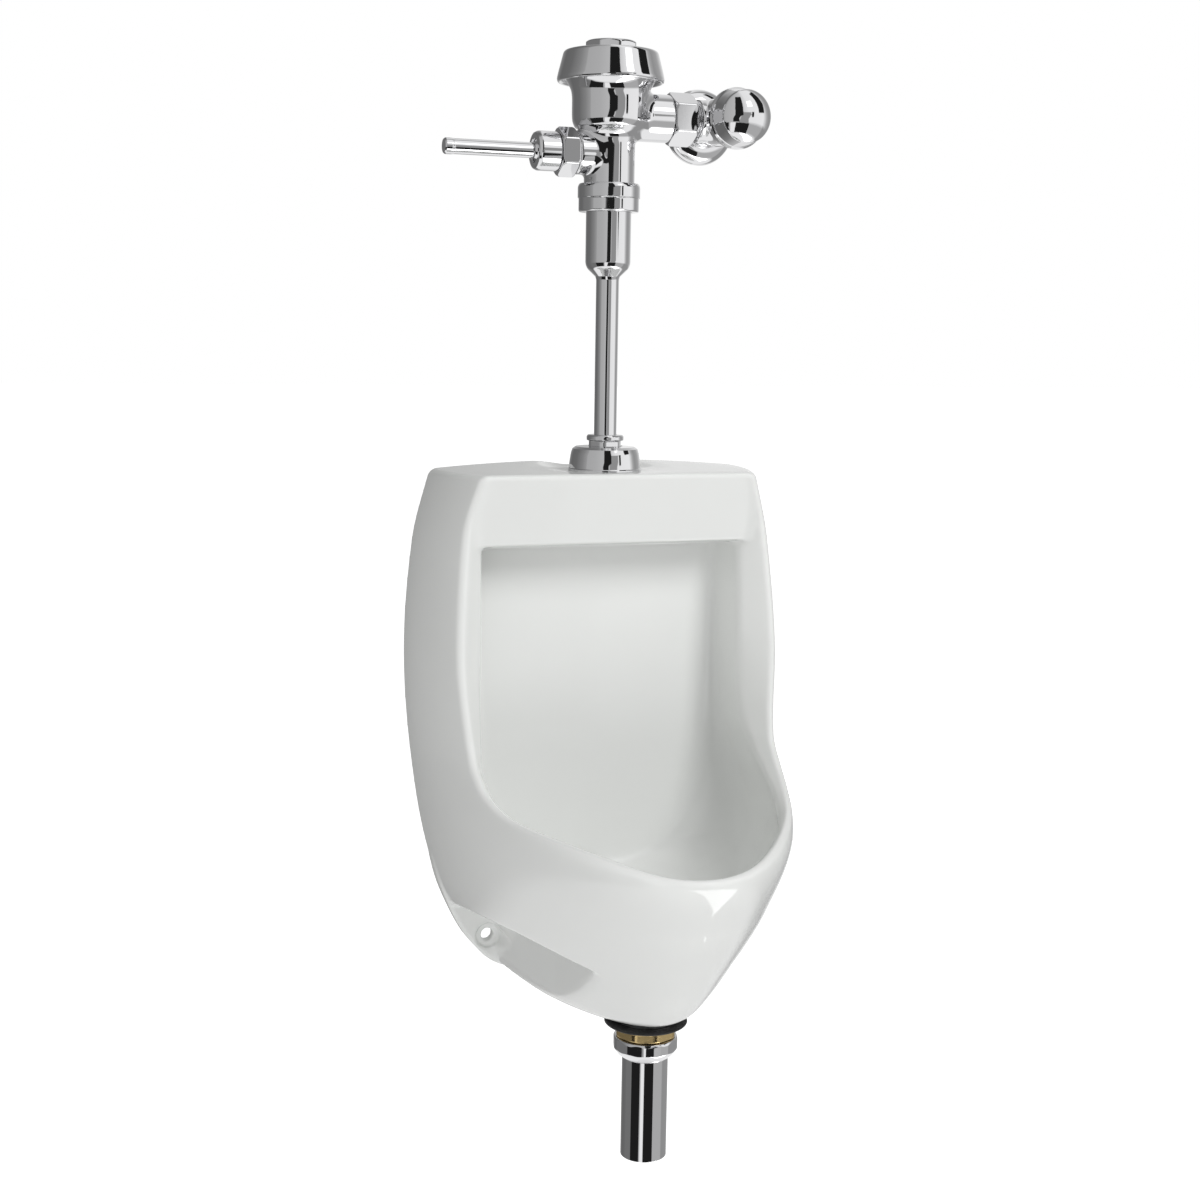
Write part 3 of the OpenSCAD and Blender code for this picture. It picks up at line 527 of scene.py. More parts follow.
# Rounding of a profile: the largest share of a side that it takes, the least turn for which its radius holds
# and the turn of one step, both in radians
CORNER_SHARE, CORNER_TURN, STEP_TURN = 0.45, 0.5, 0.3
# Where a piece's own origin lies, and the way that its +Z points
ON_AXIS = ((0, -SPUD_D, TOP_Z), "up")
TO_RIGHT = ((0, -SPUD_D, SUPPLY_Z), "right")
TO_LEFT = ((0, -SPUD_D, HANDLE_Z), "left")
AT_STOP = ((STOP_X, 0, SUPPLY_Z), "front")
AT_OUTLET = ((0, -OUTLET_D, OUTLET_Z), "up")


def turned_to(vectors, place):
    """Directions from a piece's own axes to its place."""
    return np.asarray(vectors) @ np.array(TURNS[place[1]], float).T


def rounded(profile, radius):
    """Points and outward normals of a closed [radius, height] profile, with its corners rounded."""
    p = np.array(profile, float)
    after = np.roll(p, -1, axis=0)
    if np.sum(p[:, 0] * after[:, 1] - after[:, 0] * p[:, 1]) < 0:
        p = p[::-1]
    points, normals = [], []
    for i in range(len(p)):
        a, b, c = p[i - 1], p[i], p[(i + 1) % len(p)]
        u, v = (b - a) / np.linalg.norm(b - a), (c - b) / np.linalg.norm(c - b)
        turn = abs(math.atan2(u[0] * v[1] - u[1] * v[0], u @ v))
        if b[0] < 1e-6:
            side = v if a[0] < 1e-6 else u
            points.append(b)
            normals.append([0.0, math.copysign(1.0, -side[0])])
            continue
        reach = CORNER_SHARE * min(np.linalg.norm(b - a), np.linalg.norm(c - b))
        if turn > CORNER_TURN:
            reach = min(reach, radius * math.tan(turn / 2))
        steps = max(3, int(turn / STEP_TURN) + 1)
        for w in np.linspace(0, 1, steps + 1):
            points.append(b - u * reach * (1 - w) ** 2 + v * reach * w * w)
            way = (1 - w) * u + w * v
            way /= np.linalg.norm(way)
            normals.append([way[1], -way[0]])
    return np.array(points), np.array(normals)


def turned(name, profile, place, radius=0.4, segments=128):
    """Object turned from a closed profile, shaded by the profile's own slope."""
    points, slopes = rounded(profile, radius)
    angle = np.arange(segments) * 2 * math.pi / segments

    def swept(rows):
        r, z = rows[:, 0, None], rows[:, 1, None]
        return np.stack([r * np.cos(angle), r * np.sin(angle), z + 0 * angle], 2).reshape(-1, 3)

    rows = len(points)
    i, j = np.meshgrid(np.arange(rows), np.arange(segments), indexing="ij")
    here, there = i * segments, (i + 1) % rows * segments
    after = (j + 1) % segments
    faces = np.stack([here + j, here + after, there + after, there + j], 2)
    off_axis = (points[:, 0] > 1e-6) | (np.roll(points[:, 0], -1) > 1e-6)
    shape = turned_to(swept(points), place) + np.array(place[0])
    return mesh_object(name, shape, faces[off_axis].reshape(-1, 4), turned_to(swept(slopes), place))


def turned_field(profile, radial, axial, radius=0.4, pitch=0.25):
    """The profile's distance for 3-D arrays of radius and height, read from one fine table."""
    r_axis = np.arange(0, float(radial.max()) + 2 * pitch, pitch)
    z_axis = np.arange(float(axial.min()), float(axial.max()) + 2 * pitch, pitch)
    outline, _ = rounded(profile, radius)
    table = outline_distance(outline, r_axis[:, None], z_axis[None, :]).astype(np.float32)
    gr, gz = np.broadcast_arrays(radial / pitch, (axial - z_axis[0]) / pitch)
    gr = np.clip(gr, 0, len(r_axis) - 1.001)
    gz = np.clip(gz, 0, len(z_axis) - 1.001)
    i, k = gr.astype(np.int32), gz.astype(np.int32)
    fr, fz = gr - i, gz - k
    low = table[i, k] * (1 - fr) + table[i + 1, k] * fr
    high = table[i, k + 1] * (1 - fr) + table[i + 1, k + 1] * fr
    return low * (1 - fz) + high * fz


def shaped(name, make_field, low, high, step, place, soften=0.75):
    """Object from a field over a piece's own axes, set in its place. Slopes are taken over soften steps."""
    x, y, z = grid(low, high, step)
    field = (make_field(x, y, z) + 0 * x + 0 * y + 0 * z).astype(np.float32)
    points, quads = surface(field, low, step)
    slopes = slopes_at(field, low, step, points, soften * step)
    return mesh_object(name, turned_to(points, place) + np.array(place[0]), quads, turned_to(slopes, place))


def flats_field(x, y, z, count, across, bottom, top, edge=0.5):
    """Space cut away around a prism with that many sides, between two heights. A corner points along +X."""
    sides = np.full(np.broadcast(x, y).shape, -1e3)
    for k in range(count):
        a = math.radians((k + 0.5) * 360 / count)
        sides = both(sides, x * math.cos(a) + y * math.sin(a) - across / 2, edge)
    return np.maximum(-sides, np.maximum(bottom - z, z - top))


def nut(name, profile, place, flats=(), cuts=None, step=0.5):
    """Turned piece with flats, each (count, size across, low, high), and with a further field cut away."""
    profile = np.array(profile, float)
    reach = profile[:, 0].max() + 3 * step
    low = (-reach, -reach, profile[:, 1].min() - 3 * step)
    high = (reach, reach, profile[:, 1].max() + 3 * step)

    def field(x, y, z):
        shape = turned_field(profile, np.hypot(x, y), z)
        for sides in flats:
            shape = both(shape, -flats_field(x, y, z, *sides), 0.35)
        if cuts:
            shape = both(shape, -cuts(x, y, z), 0.3)
        return shape

    return shaped(name, field, low, high, step * (1), place)


# Castings: turned forms joined with soft inner corners, with their bores cut last

CASTING_SOFTEN = 1.6


def valve_casting():
    """Barrel of the valve, with the inlet branch on its right and the handle's boss on its left."""
    barrel = [[0, 222], [BODY_R, 222], [BODY_R, 270], [21.6, 275], [24.4, 279], [29.2, 282.2], [31.2, 286.4],
              [BARREL_R, 292], [BARREL_R, 306], [32.4, 312], [35.4, 317.4], [38, 320.6], [40.2, 320.6],
              [40.2, 328], [0, 328]]
    inlet = [[0, 0], [19.5, 0], [19.5, 51], [16.5, 51], [16.5, 60], [0, 60]]
    boss = [[0, 0], [17.5, 0], [17.5, 29.6], [16.4, 31], [15, 31], [15, 37], [0, 37]]
    inlet_z = SUPPLY_Z - TOP_Z
    boss_z = HANDLE_Z - TOP_Z
    bore_r, seat_r, room_r, mouth_r = 13, 17, 27.5, 36.3
    room_low, shelf_low, mouth_low = 284, 317, 321
    inlet_r, boss_r = 12, 9.5

    def field(x, y, z):
        r = np.hypot(x, y)
        to_inlet = np.hypot(y, z - inlet_z)
        to_boss = np.hypot(y, z - boss_z)
        branch = np.maximum(turned_field(inlet, to_inlet, x), 20 - x)
        lug = np.maximum(turned_field(boss, to_boss, -x), 12 + x)
        solid = either(either(turned_field(barrel, r, z), branch, 5.0), lug, 4.0)
        around_seat = np.maximum(np.maximum(seat_r - r, r - room_r), room_low - z)
        mouth = np.minimum(np.maximum(r - room_r, shelf_low - z), np.maximum(r - mouth_r, mouth_low - z))
        rooms = np.minimum(np.minimum(r - bore_r, around_seat), mouth)
        ways = np.minimum(np.maximum(to_inlet - inlet_r, 22 - x), np.maximum(to_boss - boss_r, 8 + x))
        return np.maximum(solid, -np.minimum(rooms, ways))

    step = 0.7
    return shaped("valve_casting", field, (-40, -43, 219), (63, 43, 331), step, ON_AXIS, CASTING_SOFTEN)


def stop_casting():
    """Angle stop: a barrel out from the wall, with its arm to the valve on the left."""
    barrel = [[0, 20], [17.2, 20], [18.6, 21.4], [18.6, 32], [19.4, 37], [19.4, 66], [0, 66]]
    arm = [[0, 0], [17.4, 0], [17.4, 22.5], [16.6, 23.5], [0, 23.5]]
    supply_r, seat_r, piston_r, arm_r = 12.05, 9, 13, 13.25
    supply_end, seat_end, piston_low = 29, 34, 33

    def field(x, y, z):
        r = np.hypot(x, y)
        to_arm = np.hypot(y, z - SPUD_D)
        branch = np.maximum(turned_field(arm, to_arm, -x), 8 + x)
        solid = either(turned_field(barrel, r, z), branch, 4.0)
        supply = np.minimum(np.maximum(r - supply_r, z - supply_end), np.maximum(r - seat_r, z - seat_end))
        bore = np.minimum(supply, np.maximum(r - piston_r, piston_low - z))
        return np.maximum(solid, -np.minimum(bore, np.maximum(to_arm - arm_r, x)))

    step = 0.6
    return shaped("stop_casting", field, (-26, -22, 17), (22, 22, 69), step, AT_STOP, CASTING_SOFTEN)


# Small shapes cut into the pieces

STRAINER_HOLE_R = 2.1
# Rings of holes around the middle one, as count, radius of the ring and radius of a hole
STRAINER_RINGS = [(6, 8.6, 2.3), (10, 14.6, STRAINER_HOLE_R)]
SLOT_HALF, SLOT_FLOOR_R = 0.6, 4.6
FLANGE_SCREW_Z, FLANGE_SCREW_R = 14.8, 1.6
HANGER_HALF_W, HANGER_HOLE_R, HANGER_EDGE = 19.0, 4.0, 0.5
# A hanger's plate, its arm and the arm's upturned end, each as its range in y and in z
HANGER_STRIPS = [((-3, 0), (-16, 18)), ((-15, -2), (15, 18)), ((-15, -12), (17, 28))]


def strainer_holes(x, y, z):
    """Drain holes of the strainer's grid."""
    best = np.hypot(x, y) - STRAINER_HOLE_R
    for count, ring, size in STRAINER_RINGS:
        for k in range(count):
            a = 2 * math.pi * k / count
            best = np.minimum(best, np.hypot(x - ring * math.cos(a), y - ring * math.sin(a)) - size)
    return best + 0 * z


def screw_slot(x, y, z):
    """Slot in the head of the strainer's screw."""
    return np.maximum(np.abs(y) - SLOT_HALF, SLOT_FLOOR_R - z) + 0 * x


def flange_screw_hole(x, y, z):
    """Hole for the set screw in the underside of the wall flange."""
    return np.maximum(np.hypot(x, z - FLANGE_SCREW_Z) - FLANGE_SCREW_R, y)


def hanger(x, y, z):
    """Both wall hangers: a plate on the wall and an arm with an upturned end."""
    out = np.abs(x) - HANGER_X
    side = np.abs(out) - HANGER_HALF_W
    form = 1e3
    for y_range, z_range in HANGER_STRIPS:
        strip = both(both(side, within(y, *y_range), HANGER_EDGE), within(z, *z_range), HANGER_EDGE)
        form = np.minimum(form, strip)
    return both(form, HANGER_HOLE_R - np.hypot(out, z), 0.3)


# Profiles, as [radius, height] from each piece's own origin

FLUSH_TUBE = [[TUBE_R - 1, -10], [TUBE_R, -10], [TUBE_R, VB_LOW - 1], [TUBE_R + 0.8, VB_LOW + 1.5],
              [VB_R - 1.5, VB_LOW + 8], [VB_R, VB_LOW + 12], [VB_R, VB_HIGH + 4.2], [20.6, VB_HIGH + 4.2],
              [20.6, VB_HIGH + 5.8], [VB_R - 1, VB_HIGH + 5.8], [VB_R - 1, VB_LOW + 12.4],
              [TUBE_R, VB_LOW + 3], [TUBE_R - 1, VB_LOW - 0.5]]
VACUUM_NUT = [[VB_R + 0.15, VB_HIGH], [24.4, VB_HIGH], [25.4, 215.2], [25.4, 224.6], [25.9, 225.2],
              [25.9, 234.6], [24.6, 237], [BODY_R + 0.05, 237], [BODY_R + 0.05, 218.1],
              [VB_R + 0.15, 218.1]]
COVER = [[0, 336.6], [36.3, 336.6], [36.3, 328.4], [40.25, 328.4], [40.25, 319.6], [41.3, 318.2],
         [42.6, 317.8], [43.7, 318.5], [44.2, 320], [44.2, 321.4], [43.2, 326], [39.2, 341.2],
         [38.2, 342.6], [36.6, 343.2], [22.4, 344], [22.4, 349], [19.6, 351], [0, 351]]
SPUD_FLANGE = [[31, 0], [31, 1.6], [30.4, 2.4], [30, 7], [28.8, 15], [27.6, 18.4], [25, 20.2], [14.6, 20.8],
               [14.6, 19.4], [24.5, 18.8], [26.4, 17.2], [27.6, 14.6], [28.8, 6.8], [29.2, 0]]
SPUD_NUT = [[SPUD_R + 0.05, 7], [19.05, 7], [19.05, 18.6], [14.2, 18.6], [14.2, 25.2], [15.1, 25.2],
            [15.7, 25.8], [15.7, 28.8], [14.6, 30.2], [TUBE_R + 0.08, 30.2], [TUBE_R + 0.08, 18],
            [SPUD_R + 0.05, 18]]
HANDLE_NUT = [[15.05, 31.2], [18.8, 31.2], [20.4, 32.8], [20.4, 44.2], [18.6, 46.2], [12.5, 46.2],
              [12.5, 40.9], [15.05, 40.9]]
SOCKET = [[7, 38.6], [14.7, 38.6], [14.7, 40.8], [12.4, 40.8], [12.4, 46.5], [15.4, 46.5], [15.9, 47.3],
          [15.9, 63], [14.6, 65.4], [13.4, 66], [10, 66], [9.6, 65.4], [9.6, 64], [14.2, 64], [14.2, 49],
          [7, 49]]
LEVER = [[0, 60], [12.9, 60], [13.4, 60.6], [13.4, 63.7], [8, 63.7], [6.2, 66.4], [6.2, STICK_END - 8],
         [6.5, STICK_END - 6], [6.5, STICK_END - 1.2], [5.6, STICK_END], [0, STICK_END]]
INLET_NUT = [[16.55, 51.3], [20.4, 51.3], [22.3, 53.3], [22.3, 69.7], [20, 72.3], [13.3, 72.3], [13.3, 64.5],
             [16.55, 64.5]]
INLET_PIPE = [[10.4, 60.1], [16.2, 60.1], [16.2, 62.9], [13.2, 62.9], [13.2, STOP_X - 13.4],
              [10.4, STOP_X - 13.4]]
BONNET = [[5.06, 64.6], [9.6, 64.6], [9.6, 58], [12.95, 58], [12.95, 66], [21.4, 66], [22, 66.8], [22, 73.4],
          [20.6, 75], [14, 75], [14, 83], [5.06, 83]]
DOME_R, DOME_Z = 32, 75.5
DOME = [[DOME_R * math.sin(math.radians(a)), DOME_Z + DOME_R * math.cos(math.radians(a))]
        for a in range(40, -1, -4)]
CAP_SIDE = [[14.3, 76.2], [24.2, 76.2], [25, 77.2], [25, 80.6], [23.4, 83], [22.2, 92], [21.7, 97.6],
            [21.4, 98.9]]
CAP_ROOM = [[0, 105.5], [12, 102], [18, 96], [18, 86], [14.3, 84.6]]
STOP_CAP = CAP_SIDE + DOME + CAP_ROOM
BELL = [[18.2 + 13.4 * math.cos(math.radians(a)), 2 + 9.4 * math.sin(math.radians(a))]
        for a in range(0, 91, 10)]
BELL_FOOT = [[14.5, 17.6], [14.5, 8], [29.6, 1.6], [29.6, 0], [32, 0], [32, 1.4]]
WALL_FLANGE = BELL_FOOT + BELL + [[17.4, 12.6], [17.2, 17.6]]
STRAINER = [[TAIL_R + 0.1, -22], [THREAD_R, -22], [THREAD_R, -0.5], [23.7, 0], [23.7, 19], [33.4, 19.02],
            [34, 20], [31, 22], [24, 22.4], [22.6, 20.2], [17.5, 20.2], [17.5, -4], [TAIL_R + 0.1, -4]]
STRAINER_COVER = [[0, 20.2], [22.5, 20.2], [22.5, 21.6], [18, 22.8], [8, 23.6], [0, 23.6]]
STRAINER_SCREW = [[0, 18.2], [2.05, 18.2], [2.05, 23.6], [4.6, 23.6], [3.8, 25.2], [2, 25.8], [0, 25.8]]
GASKET = [[22.1, -4.4], [26, -4.4], [33.6, -1.6], [34.4, -0.8], [33.8, 0], [23.8, 0], [22.1, -1]]
LOCKNUT = [[22.05, -12.4], [24.2, -12.4], [25.4, -11.2], [25.4, -5.4], [24.6, -4.4], [22.05, -4.4]]
SLIP_NUT = [[TAIL_R + 0.1, -30], [20.6, -30], [22.6, -28.4], [25.6, -24.6], [26.8, -22.6], [26.8, -15],
            [25.6, -12.9], [22.05, -12.6], [22.05, -26.3], [TAIL_R + 0.1, -26.3]]
TAILPIECE = [[TAIL_R - 1.2, -117], [TAIL_R, -117], [TAIL_R, -31], [NECK_R, -30.4], [NECK_R, -6],
             [NECK_R - 1.2, -6], [NECK_R - 1.2, -31], [TAIL_R - 1.2, -31.6]]


# Materials, all from noise over the object's own coordinates

# Most of the noise lies between these two values
NOISE_LOW, NOISE_HIGH = 0.3, 0.7
ROUGH_CHANGE = 0.25
RELIEF_HEIGHT = 0.0002


def noise(nodes, links, place, scale, detail):
    """Noise over the object's own coordinates."""
    made = nodes.new("ShaderNodeTexNoise")
    made.inputs["Scale"].default_value = scale
    made.inputs["Detail"].default_value = detail
    links.new(place.outputs["Object"], made.inputs["Vector"])
    return made.outputs["Fac"]


def material(name, colour, rough, metallic=0.0, shade=0.03, grain=40.0, bump=0.05):
    """Principled material whose colour, roughness and relief follow noise at two scales."""
    made = bpy.data.materials.new(name)
    made.use_nodes = True
    nodes, links = made.node_tree.nodes, made.node_tree.links
    shader = nodes["Principled BSDF"]
    shader.inputs["Metallic"].default_value = metallic
    place = nodes.new("ShaderNodeTexCoord")
    broad = noise(nodes, links, place, grain / 5, 3)
    fine = noise(nodes, links, place, grain * 6, 4)

    ramp = nodes.new("ShaderNodeValToRGB")
    ramp.color_ramp.elements[0].position = NOISE_LOW
    ramp.color_ramp.elements[1].position = NOISE_HIGH
    ramp.color_ramp.elements[0].color = [c * (1 - shade) for c in colour] + [1]
    ramp.color_ramp.elements[1].color = [min(1, c * (1 + shade)) for c in colour] + [1]
    links.new(broad, ramp.inputs["Fac"])
    links.new(ramp.outputs["Color"], shader.inputs["Base Color"])

    gloss = nodes.new("ShaderNodeMapRange")
    gloss.inputs["From Min"].default_value = NOISE_LOW
    gloss.inputs["From Max"].default_value = NOISE_HIGH
    gloss.inputs["To Min"].default_value = rough * (1 - ROUGH_CHANGE)
    gloss.inputs["To Max"].default_value = rough * (1 + ROUGH_CHANGE)
    links.new(fine, gloss.inputs["Value"])
    links.new(gloss.outputs["Result"], shader.inputs["Roughness"])

    relief = nodes.new("ShaderNodeBump")
    relief.inputs["Strength"].default_value = bump
    relief.inputs["Distance"].default_value = RELIEF_HEIGHT
    links.new(fine, relief.inputs["Height"])
    links.new(relief.outputs["Normal"], shader.inputs["Normal"])
    return made


MATERIALS = {
    "china": material("glazed_white_china", (0.83, 0.84, 0.825), 0.06, shade=0.008, grain=30, bump=0.05),
    "chrome": material("polished_chrome", (0.78, 0.78, 0.79), 0.035, 1.0, shade=0.01, grain=50, bump=0.012),
    "spud_brass": material("machined_brass", (0.72, 0.54, 0.26), 0.22, 1.0, shade=0.05, grain=40, bump=0.04),
    "steel": material("satin_steel", (0.6, 0.6, 0.61), 0.24, 1.0, shade=0.04, grain=60, bump=0.1),
    "galvanised_steel": material("zinc_steel", (0.5, 0.52, 0.53), 0.4, 1.0, shade=0.18, grain=90, bump=0.2),
    "black_rubber": material("black_rubber", (0.018, 0.018, 0.019), 0.6, shade=0.15, grain=80, bump=0.25),
    "white_plastic": material("white_plastic", (0.76, 0.76, 0.72), 0.35, shade=0.02, grain=50, bump=0.1),
    "fibre": material("pressed_fibre", (0.3, 0.17, 0.09), 0.7, shade=0.2, grain=120, bump=0.4),
}


# Pieces

def finish_piece(obj, node, slot="chrome", body="urinal"):
    """The piece stands for its CAD node, with that slot's material."""
    obj.data.materials.append(MATERIALS[slot])
    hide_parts(node)
    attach(obj, body)


def make_valve():
    """Everything above the china: flush tube, valve with its handle, stop and wall flange."""
    finish_piece(turned("straight_flush_tube", FLUSH_TUBE, ON_AXIS), "flush_tube")
    finish_piece(nut("vacuum_nut", VACUUM_NUT, ON_AXIS, [(8, 50, 213, 225.2)]), "vacuum_breaker_nut")
    finish_piece(valve_casting(), "valve_body")
    finish_piece(nut("top_cover", COVER, ON_AXIS, [(8, 41, 344.2, 352)]), "outside_cover")
    finish_piece(turned("dome_flange", SPUD_FLANGE, ON_AXIS), "spud_flange")
    spud_flats = [(6, 33, 6, 18.6), (6, 26.4, 18.6, 25.2)]
    finish_piece(nut("spud_nut", SPUD_NUT, ON_AXIS, spud_flats), "spud_coupling_nut")
    finish_piece(nut("handle_nut", HANDLE_NUT, TO_LEFT, [(6, 35.4, 30, 48)]), "handle_coupling_nut")
    finish_piece(turned("handle_cup", SOCKET, TO_LEFT), "handle_socket")
    finish_piece(turned("stick_handle", LEVER, TO_LEFT), "handle_lever", body="handle")
    finish_piece(nut("inlet_nut", INLET_NUT, TO_RIGHT, [(6, 38.6, 50, 74)]), "tailpiece_coupling_nut")
    finish_piece(turned("inlet_pipe", INLET_PIPE, TO_RIGHT), "adjustable_tailpiece")
    finish_piece(stop_casting(), "stop_body")
    finish_piece(turned("bonnet_turning", BONNET, AT_STOP), "stop_bonnet")
    finish_piece(turned("round_stop_cap", STOP_CAP, AT_STOP, 0.6), "stop_cap", body="cap")
    finish_piece(nut("bell_flange", WALL_FLANGE, AT_STOP, cuts=flange_screw_hole), "wall_flange")


def make_outlet():
    """Strainer, gasket, nuts and tailpiece under the bowl."""
    finish_piece(turned("strainer_seat", STRAINER, AT_OUTLET), "strainer_spud")
    strainer_grid = nut("strainer_grid", STRAINER_COVER, AT_OUTLET, cuts=strainer_holes, step=0.4)
    finish_piece(strainer_grid, "strainer_cover", "steel")
    grid_screw = nut("grid_screw", STRAINER_SCREW, AT_OUTLET, cuts=screw_slot, step=0.2)
    finish_piece(grid_screw, "strainer_screw", "steel")
    finish_piece(turned("rubber_gasket", GASKET, AT_OUTLET), "outlet_gasket", "black_rubber")
    finish_piece(nut("brass_locknut", LOCKNUT, AT_OUTLET, [(8, 48, -13, -5)]), "outlet_locknut", "spud_brass")
    finish_piece(nut("ring_slip_nut", SLIP_NUT, AT_OUTLET, [(10, 52.4, -31, -12)]), "slip_nut")
    finish_piece(turned("outlet_pipe", TAILPIECE, AT_OUTLET), "outlet_tailpiece")


def make_hangers():
    """Both wall hangers, as one piece like their CAD node."""
    piece = shaped("zinc_hangers", hanger, (-122, -18, -19), (122, 3, 31), 1.0, ((0, 0, 0), "up"))
    finish_piece(piece, "wall_hangers", "galvanised_steel")


def finish_hidden_nodes():
    """The inner pieces stay as the CAD made them, with their slot's material."""
    slots = {s["node"]: s["material_slot"] for s in frame["record"]["subparts"]}
    for name, node in NODES.items():
        if node.hide_render:
            continue
        node.data.materials.clear()
        node.data.materials.append(MATERIALS[slots[name]])


# Studio

CAMERA_YAW = 21.0
CAMERA_PITCH = 8.5
CAMERA_ROLL = 0.89
CAMERA_PLACE = (-0.550, -1.4737, 0.1793)
CAMERA_LENS = 54.1665
SENSOR_W = 36.0
AMBIENT = 0.45
FLOOR_Z = -850.0
FLOOR_HALF = 30000.0
FLOOR_GLOW = 0.75
# Kinds of ray that see the background white
WHITE_RAYS = ["Is Camera Ray", "Is Glossy Ray", "Is Transmission Ray"]
# Lamps, as name, place, point that it aims at, size and watts
LAMPS = [
    ("key_light", (0.95, -2.15, 1.6), (0, -0.1, 0.0), (1.1, 1.1), 38.5),
    ("low_light", (-0.6, -1.05, -0.78), (0, -0.15, -0.3), (1.3, 0.9), 6.6),
]


def lamp(name, place, aim, size, watts):
    """Area lamp that only lights surfaces, so that neither the camera nor the chrome sees it."""
    light = bpy.data.lights.new(name, "AREA")
    light.shape = "RECTANGLE"
    light.size, light.size_y = size
    light.energy = watts
    obj = bpy.data.objects.new(name, light)
    obj.location = place
    obj.rotation_euler = (Vector(aim) - Vector(place)).to_track_quat("-Z", "Y").to_euler()
    obj.visible_camera = False
    obj.visible_glossy = False
    bpy.context.scene.collection.objects.link(obj)


def ray_kind(nodes, links, kinds):
    """1 for those kinds of ray and 0 for the others."""
    path = nodes.new("ShaderNodeLightPath")
    total = path.outputs[kinds[0]]
    for kind in kinds[1:]:
        larger = nodes.new("ShaderNodeMath")
        larger.operation = "MAXIMUM"
        links.new(total, larger.inputs[0])
        links.new(path.outputs[kind], larger.inputs[1])
        total = larger.outputs[0]
    return total


def make_world():
    """White world behind everything, which lights the object at the ambient level."""
    world = bpy.data.worlds.new("studio_world")
    bpy.context.scene.world = world
    world.use_nodes = True
    nodes, links = world.node_tree.nodes, world.node_tree.links
    background = nodes["Background"]
    background.inputs["Color"].default_value = (1, 1, 1, 1)
    strength = nodes.new("ShaderNodeMapRange")
    strength.inputs["To Min"].default_value = AMBIENT
    strength.inputs["To Max"].default_value = 1.0
    links.new(ray_kind(nodes, links, WHITE_RAYS), strength.inputs["Value"])
    links.new(strength.outputs["Result"], background.inputs["Strength"])


def make_floor():
    """Pale floor that shows white with a faint shadow."""
    corners = [(-1, -1), (1, -1), (1, 1), (-1, 1)]
    points = [(across * FLOOR_HALF, deep * FLOOR_HALF, FLOOR_Z) for across, deep in corners]
    floor = mesh_object("studio_floor", points, [[0, 1, 2, 3]])
    made = bpy.data.materials.new("studio_floor")
    made.use_nodes = True
    nodes, links = made.node_tree.nodes, made.node_tree.links
    paint = nodes["Principled BSDF"]
    paint.inputs["Base Color"].default_value = (0.8, 0.8, 0.8, 1)
    paint.inputs["Roughness"].default_value = 1.0
    paint.inputs["Specular IOR Level"].default_value = 0.0
    light = nodes.new("ShaderNodeEmission")
    share = nodes.new("ShaderNodeMath")
    share.operation = "MULTIPLY"
    share.inputs[1].default_value = FLOOR_GLOW
    links.new(ray_kind(nodes, links, WHITE_RAYS), share.inputs[0])
    links.new(share.outputs[0], light.inputs["Strength"])
    total = nodes.new("ShaderNodeAddShader")
    links.new(paint.outputs[0], total.inputs[0])
    links.new(light.outputs[0], total.inputs[1])
    links.new(total.outputs[0], nodes["Material Output"].inputs["Surface"])
    floor.data.materials.append(made)
    floor.visible_glossy = False


ROOM_R = 3000.0
ROOM_CENTRE = (0, -SPUD_D, 250)
# Tones of the room around the part, as azimuth and tone. Azimuth 0 is towards the camera, + is to its right.
WALL_TONES = [[-180, 0.55], [-155, 0.24], [-135, 0.15], [-105, 0.17], [-78, 0.27], [-62, 0.38], [-59, 0.47],
              [-30, 0.5], [-4, 0.57], [20, 0.7], [38, 0.95], [88, 1.0], [104, 0.45], [114, 0.34], [135, 0.42],
              [158, 0.75], [180, 0.9]]
# Cards in front of it, as tone, softness in degrees, and outline in azimuth and elevation. Each is drawn over
# the ones before it.
CARDS = [
    (0.19, 6.0, [(-106, -42), (-60, -42), (-60, -13), (-106, -13)]),
    (0.48, 8.0, [(40, -42), (96, -42), (96, -13), (40, -13)]),
    (0.33, 6.0, [(92, -42), (160, -42), (160, -13), (92, -13)]),
    (1.0, 6.0, [(-200, -100), (200, -100), (200, -44), (-200, -44)]),
    (0.33, 2.0, [(10, -14), (40, -14), (38, -3), (45, 8), (47, 15), (20, 15)]),
    (0.015, 0.8, [(-8, -12), (12, -12), (10, -3), (14, 4), (22, 7), (22, 60), (-3, 60), (-2, 8), (-8, -3)]),
    (0.015, 0.8, [(48, 3), (54, 3), (56, 16), (49, 16)]),
    (0.015, 0.8, [(72, 14), (92, 14), (97, 30), (97, 60), (74, 60)]),
    (0.015, 0.8, [(-68, -43), (-24, -43), (-21, -14), (-66, -14)]),
    (1.0, 0.8, [(-19, -43), (-5, -43), (0, -14), (-16, -14)]),
    (0.015, 0.8, [(-4, -43), (42, -43), (42, -14), (1, -14)]),
    # Glowing patch, brighter than white and no lamp: a painted highlight seen only in reflections, which makes
    # the bright triangle below the lip's front and shows in the chrome too.
    (4.5, 0.8, [(16, -44), (84, -46), (86, -66), (58, -62)]),
    # Glowing patch that stands in for the key lamp's reflection, a painted highlight, since the lamps are
    # hidden from glossy rays.
    (2.5, 2.0, [(38, 30), (54, 30), (54, 44), (38, 44)]),
]


def card_cover(azimuth, elevation, outline, soft):
    """1 inside a card and 0 outside, with a soft edge of that many degrees."""
    return np.clip(0.5 - outline_distance(outline, azimuth, elevation) / soft, 0, 1)


def room_tones(azimuth, elevation):
    """Tone of the room in each direction: the wall's, with the cards drawn over it."""
    tones = np.array(WALL_TONES)
    grey = np.interp(azimuth, tones[:, 0], tones[:, 1])
    for tone, soft, outline in CARDS:
        cover = card_cover(azimuth, elevation, outline, soft)
        grey = grey * (1 - cover) + tone * cover
    return grey


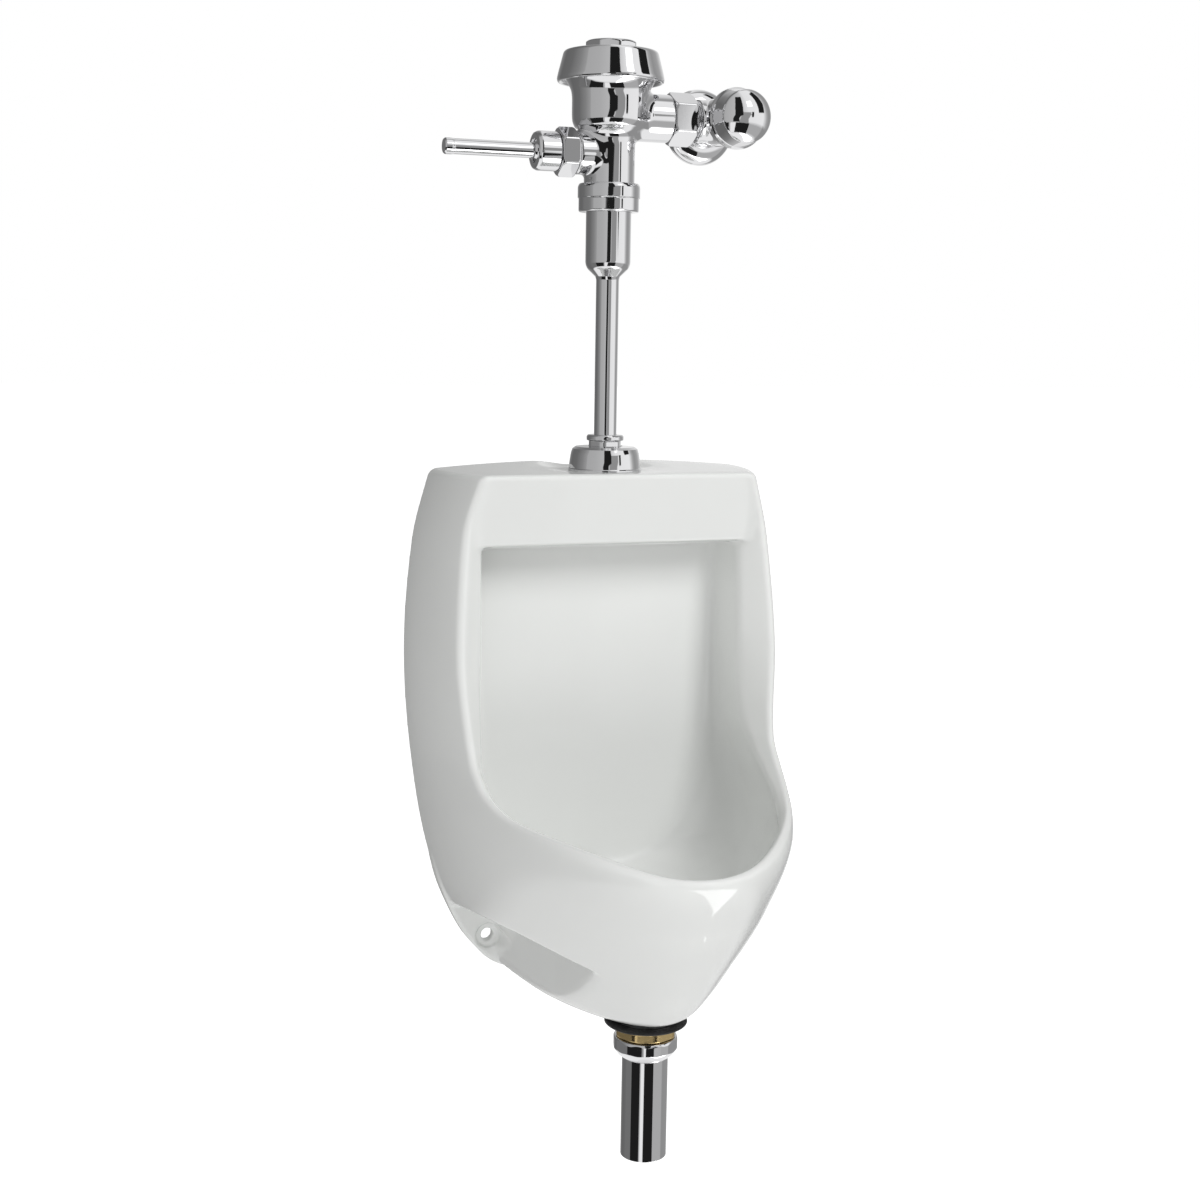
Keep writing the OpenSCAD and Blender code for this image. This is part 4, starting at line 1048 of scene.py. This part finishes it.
def room_paint():
    """Material that glows in the tone of each point."""
    made = bpy.data.materials.new("studio_reflections")
    made.use_nodes = True
    nodes, links = made.node_tree.nodes, made.node_tree.links
    read = nodes.new("ShaderNodeVertexColor")
    read.layer_name = "tone"
    glow = nodes.new("ShaderNodeEmission")
    links.new(read.outputs["Color"], glow.inputs["Color"])
    links.new(glow.outputs[0], nodes["Material Output"].inputs["Surface"])
    return made


def make_room():
    """Sphere that only polished surfaces see, painted with the room's tones and with glowing patches that put
    painted highlights on the glaze and chrome.
    """
    azimuth, elevation = np.meshgrid(np.arange(-180, 180.1, 0.5), np.arange(-88, 88.1, 1.0), indexing="ij")
    turn = np.radians(azimuth - CAMERA_YAW)
    lift = np.radians(elevation)
    points = np.stack([np.sin(turn) * np.cos(lift), -np.cos(turn) * np.cos(lift), np.sin(lift)], 2) * ROOM_R
    points += np.array(ROOM_CENTRE)
    rows, columns = azimuth.shape
    i, j = np.meshgrid(np.arange(rows - 1), np.arange(columns - 1), indexing="ij")
    here = i * columns + j
    faces = np.stack([here, here + 1, here + columns + 1, here + columns], 2).reshape(-1, 4)
    room = mesh_object("studio_reflections", points.reshape(-1, 3), faces)
    tone = room.data.color_attributes.new("tone", "FLOAT_COLOR", "POINT")
    paint = np.repeat(room_tones(azimuth, elevation).reshape(-1, 1), 4, 1)
    tone.data.foreach_set("color", paint.ravel())
    room.data.materials.append(room_paint())
    room.visible_camera = False
    room.visible_diffuse = False
    room.visible_shadow = False
    room.visible_transmission = False


def make_camera():
    """Camera as solved from the photo, turned by yaw, then pitch, then roll."""
    data = bpy.data.cameras.new("studio_camera")
    data.lens = CAMERA_LENS
    data.sensor_width = SENSOR_W
    camera = bpy.data.objects.new("studio_camera", data)
    yaw, pitch, roll = (math.radians(a) for a in (CAMERA_YAW, CAMERA_PITCH, CAMERA_ROLL))
    ahead = Vector((math.sin(yaw) * math.cos(pitch), math.cos(yaw) * math.cos(pitch), -math.sin(pitch)))
    right = Vector((math.cos(yaw), -math.sin(yaw), 0))
    up = Vector((math.sin(yaw) * math.sin(pitch), math.cos(yaw) * math.sin(pitch), math.cos(pitch)))
    across = right * math.cos(roll) + up * math.sin(roll)
    above = up * math.cos(roll) - right * math.sin(roll)
    turn = Matrix((across, above, -ahead)).transposed()
    camera.matrix_world = Matrix.Translation(CAMERA_PLACE) @ turn.to_4x4()
    bpy.context.scene.collection.objects.link(camera)
    bpy.context.scene.camera = camera


def make_studio():
    """World, floor, lamps, reflections and camera."""
    bpy.context.scene.view_settings.view_transform = "Standard"
    make_world()
    make_floor()
    for settings in LAMPS:
        lamp(*settings)
    make_room()
    make_camera()


make_china()
make_valve()
make_outlet()
make_hangers()
finish_hidden_nodes()
make_studio()
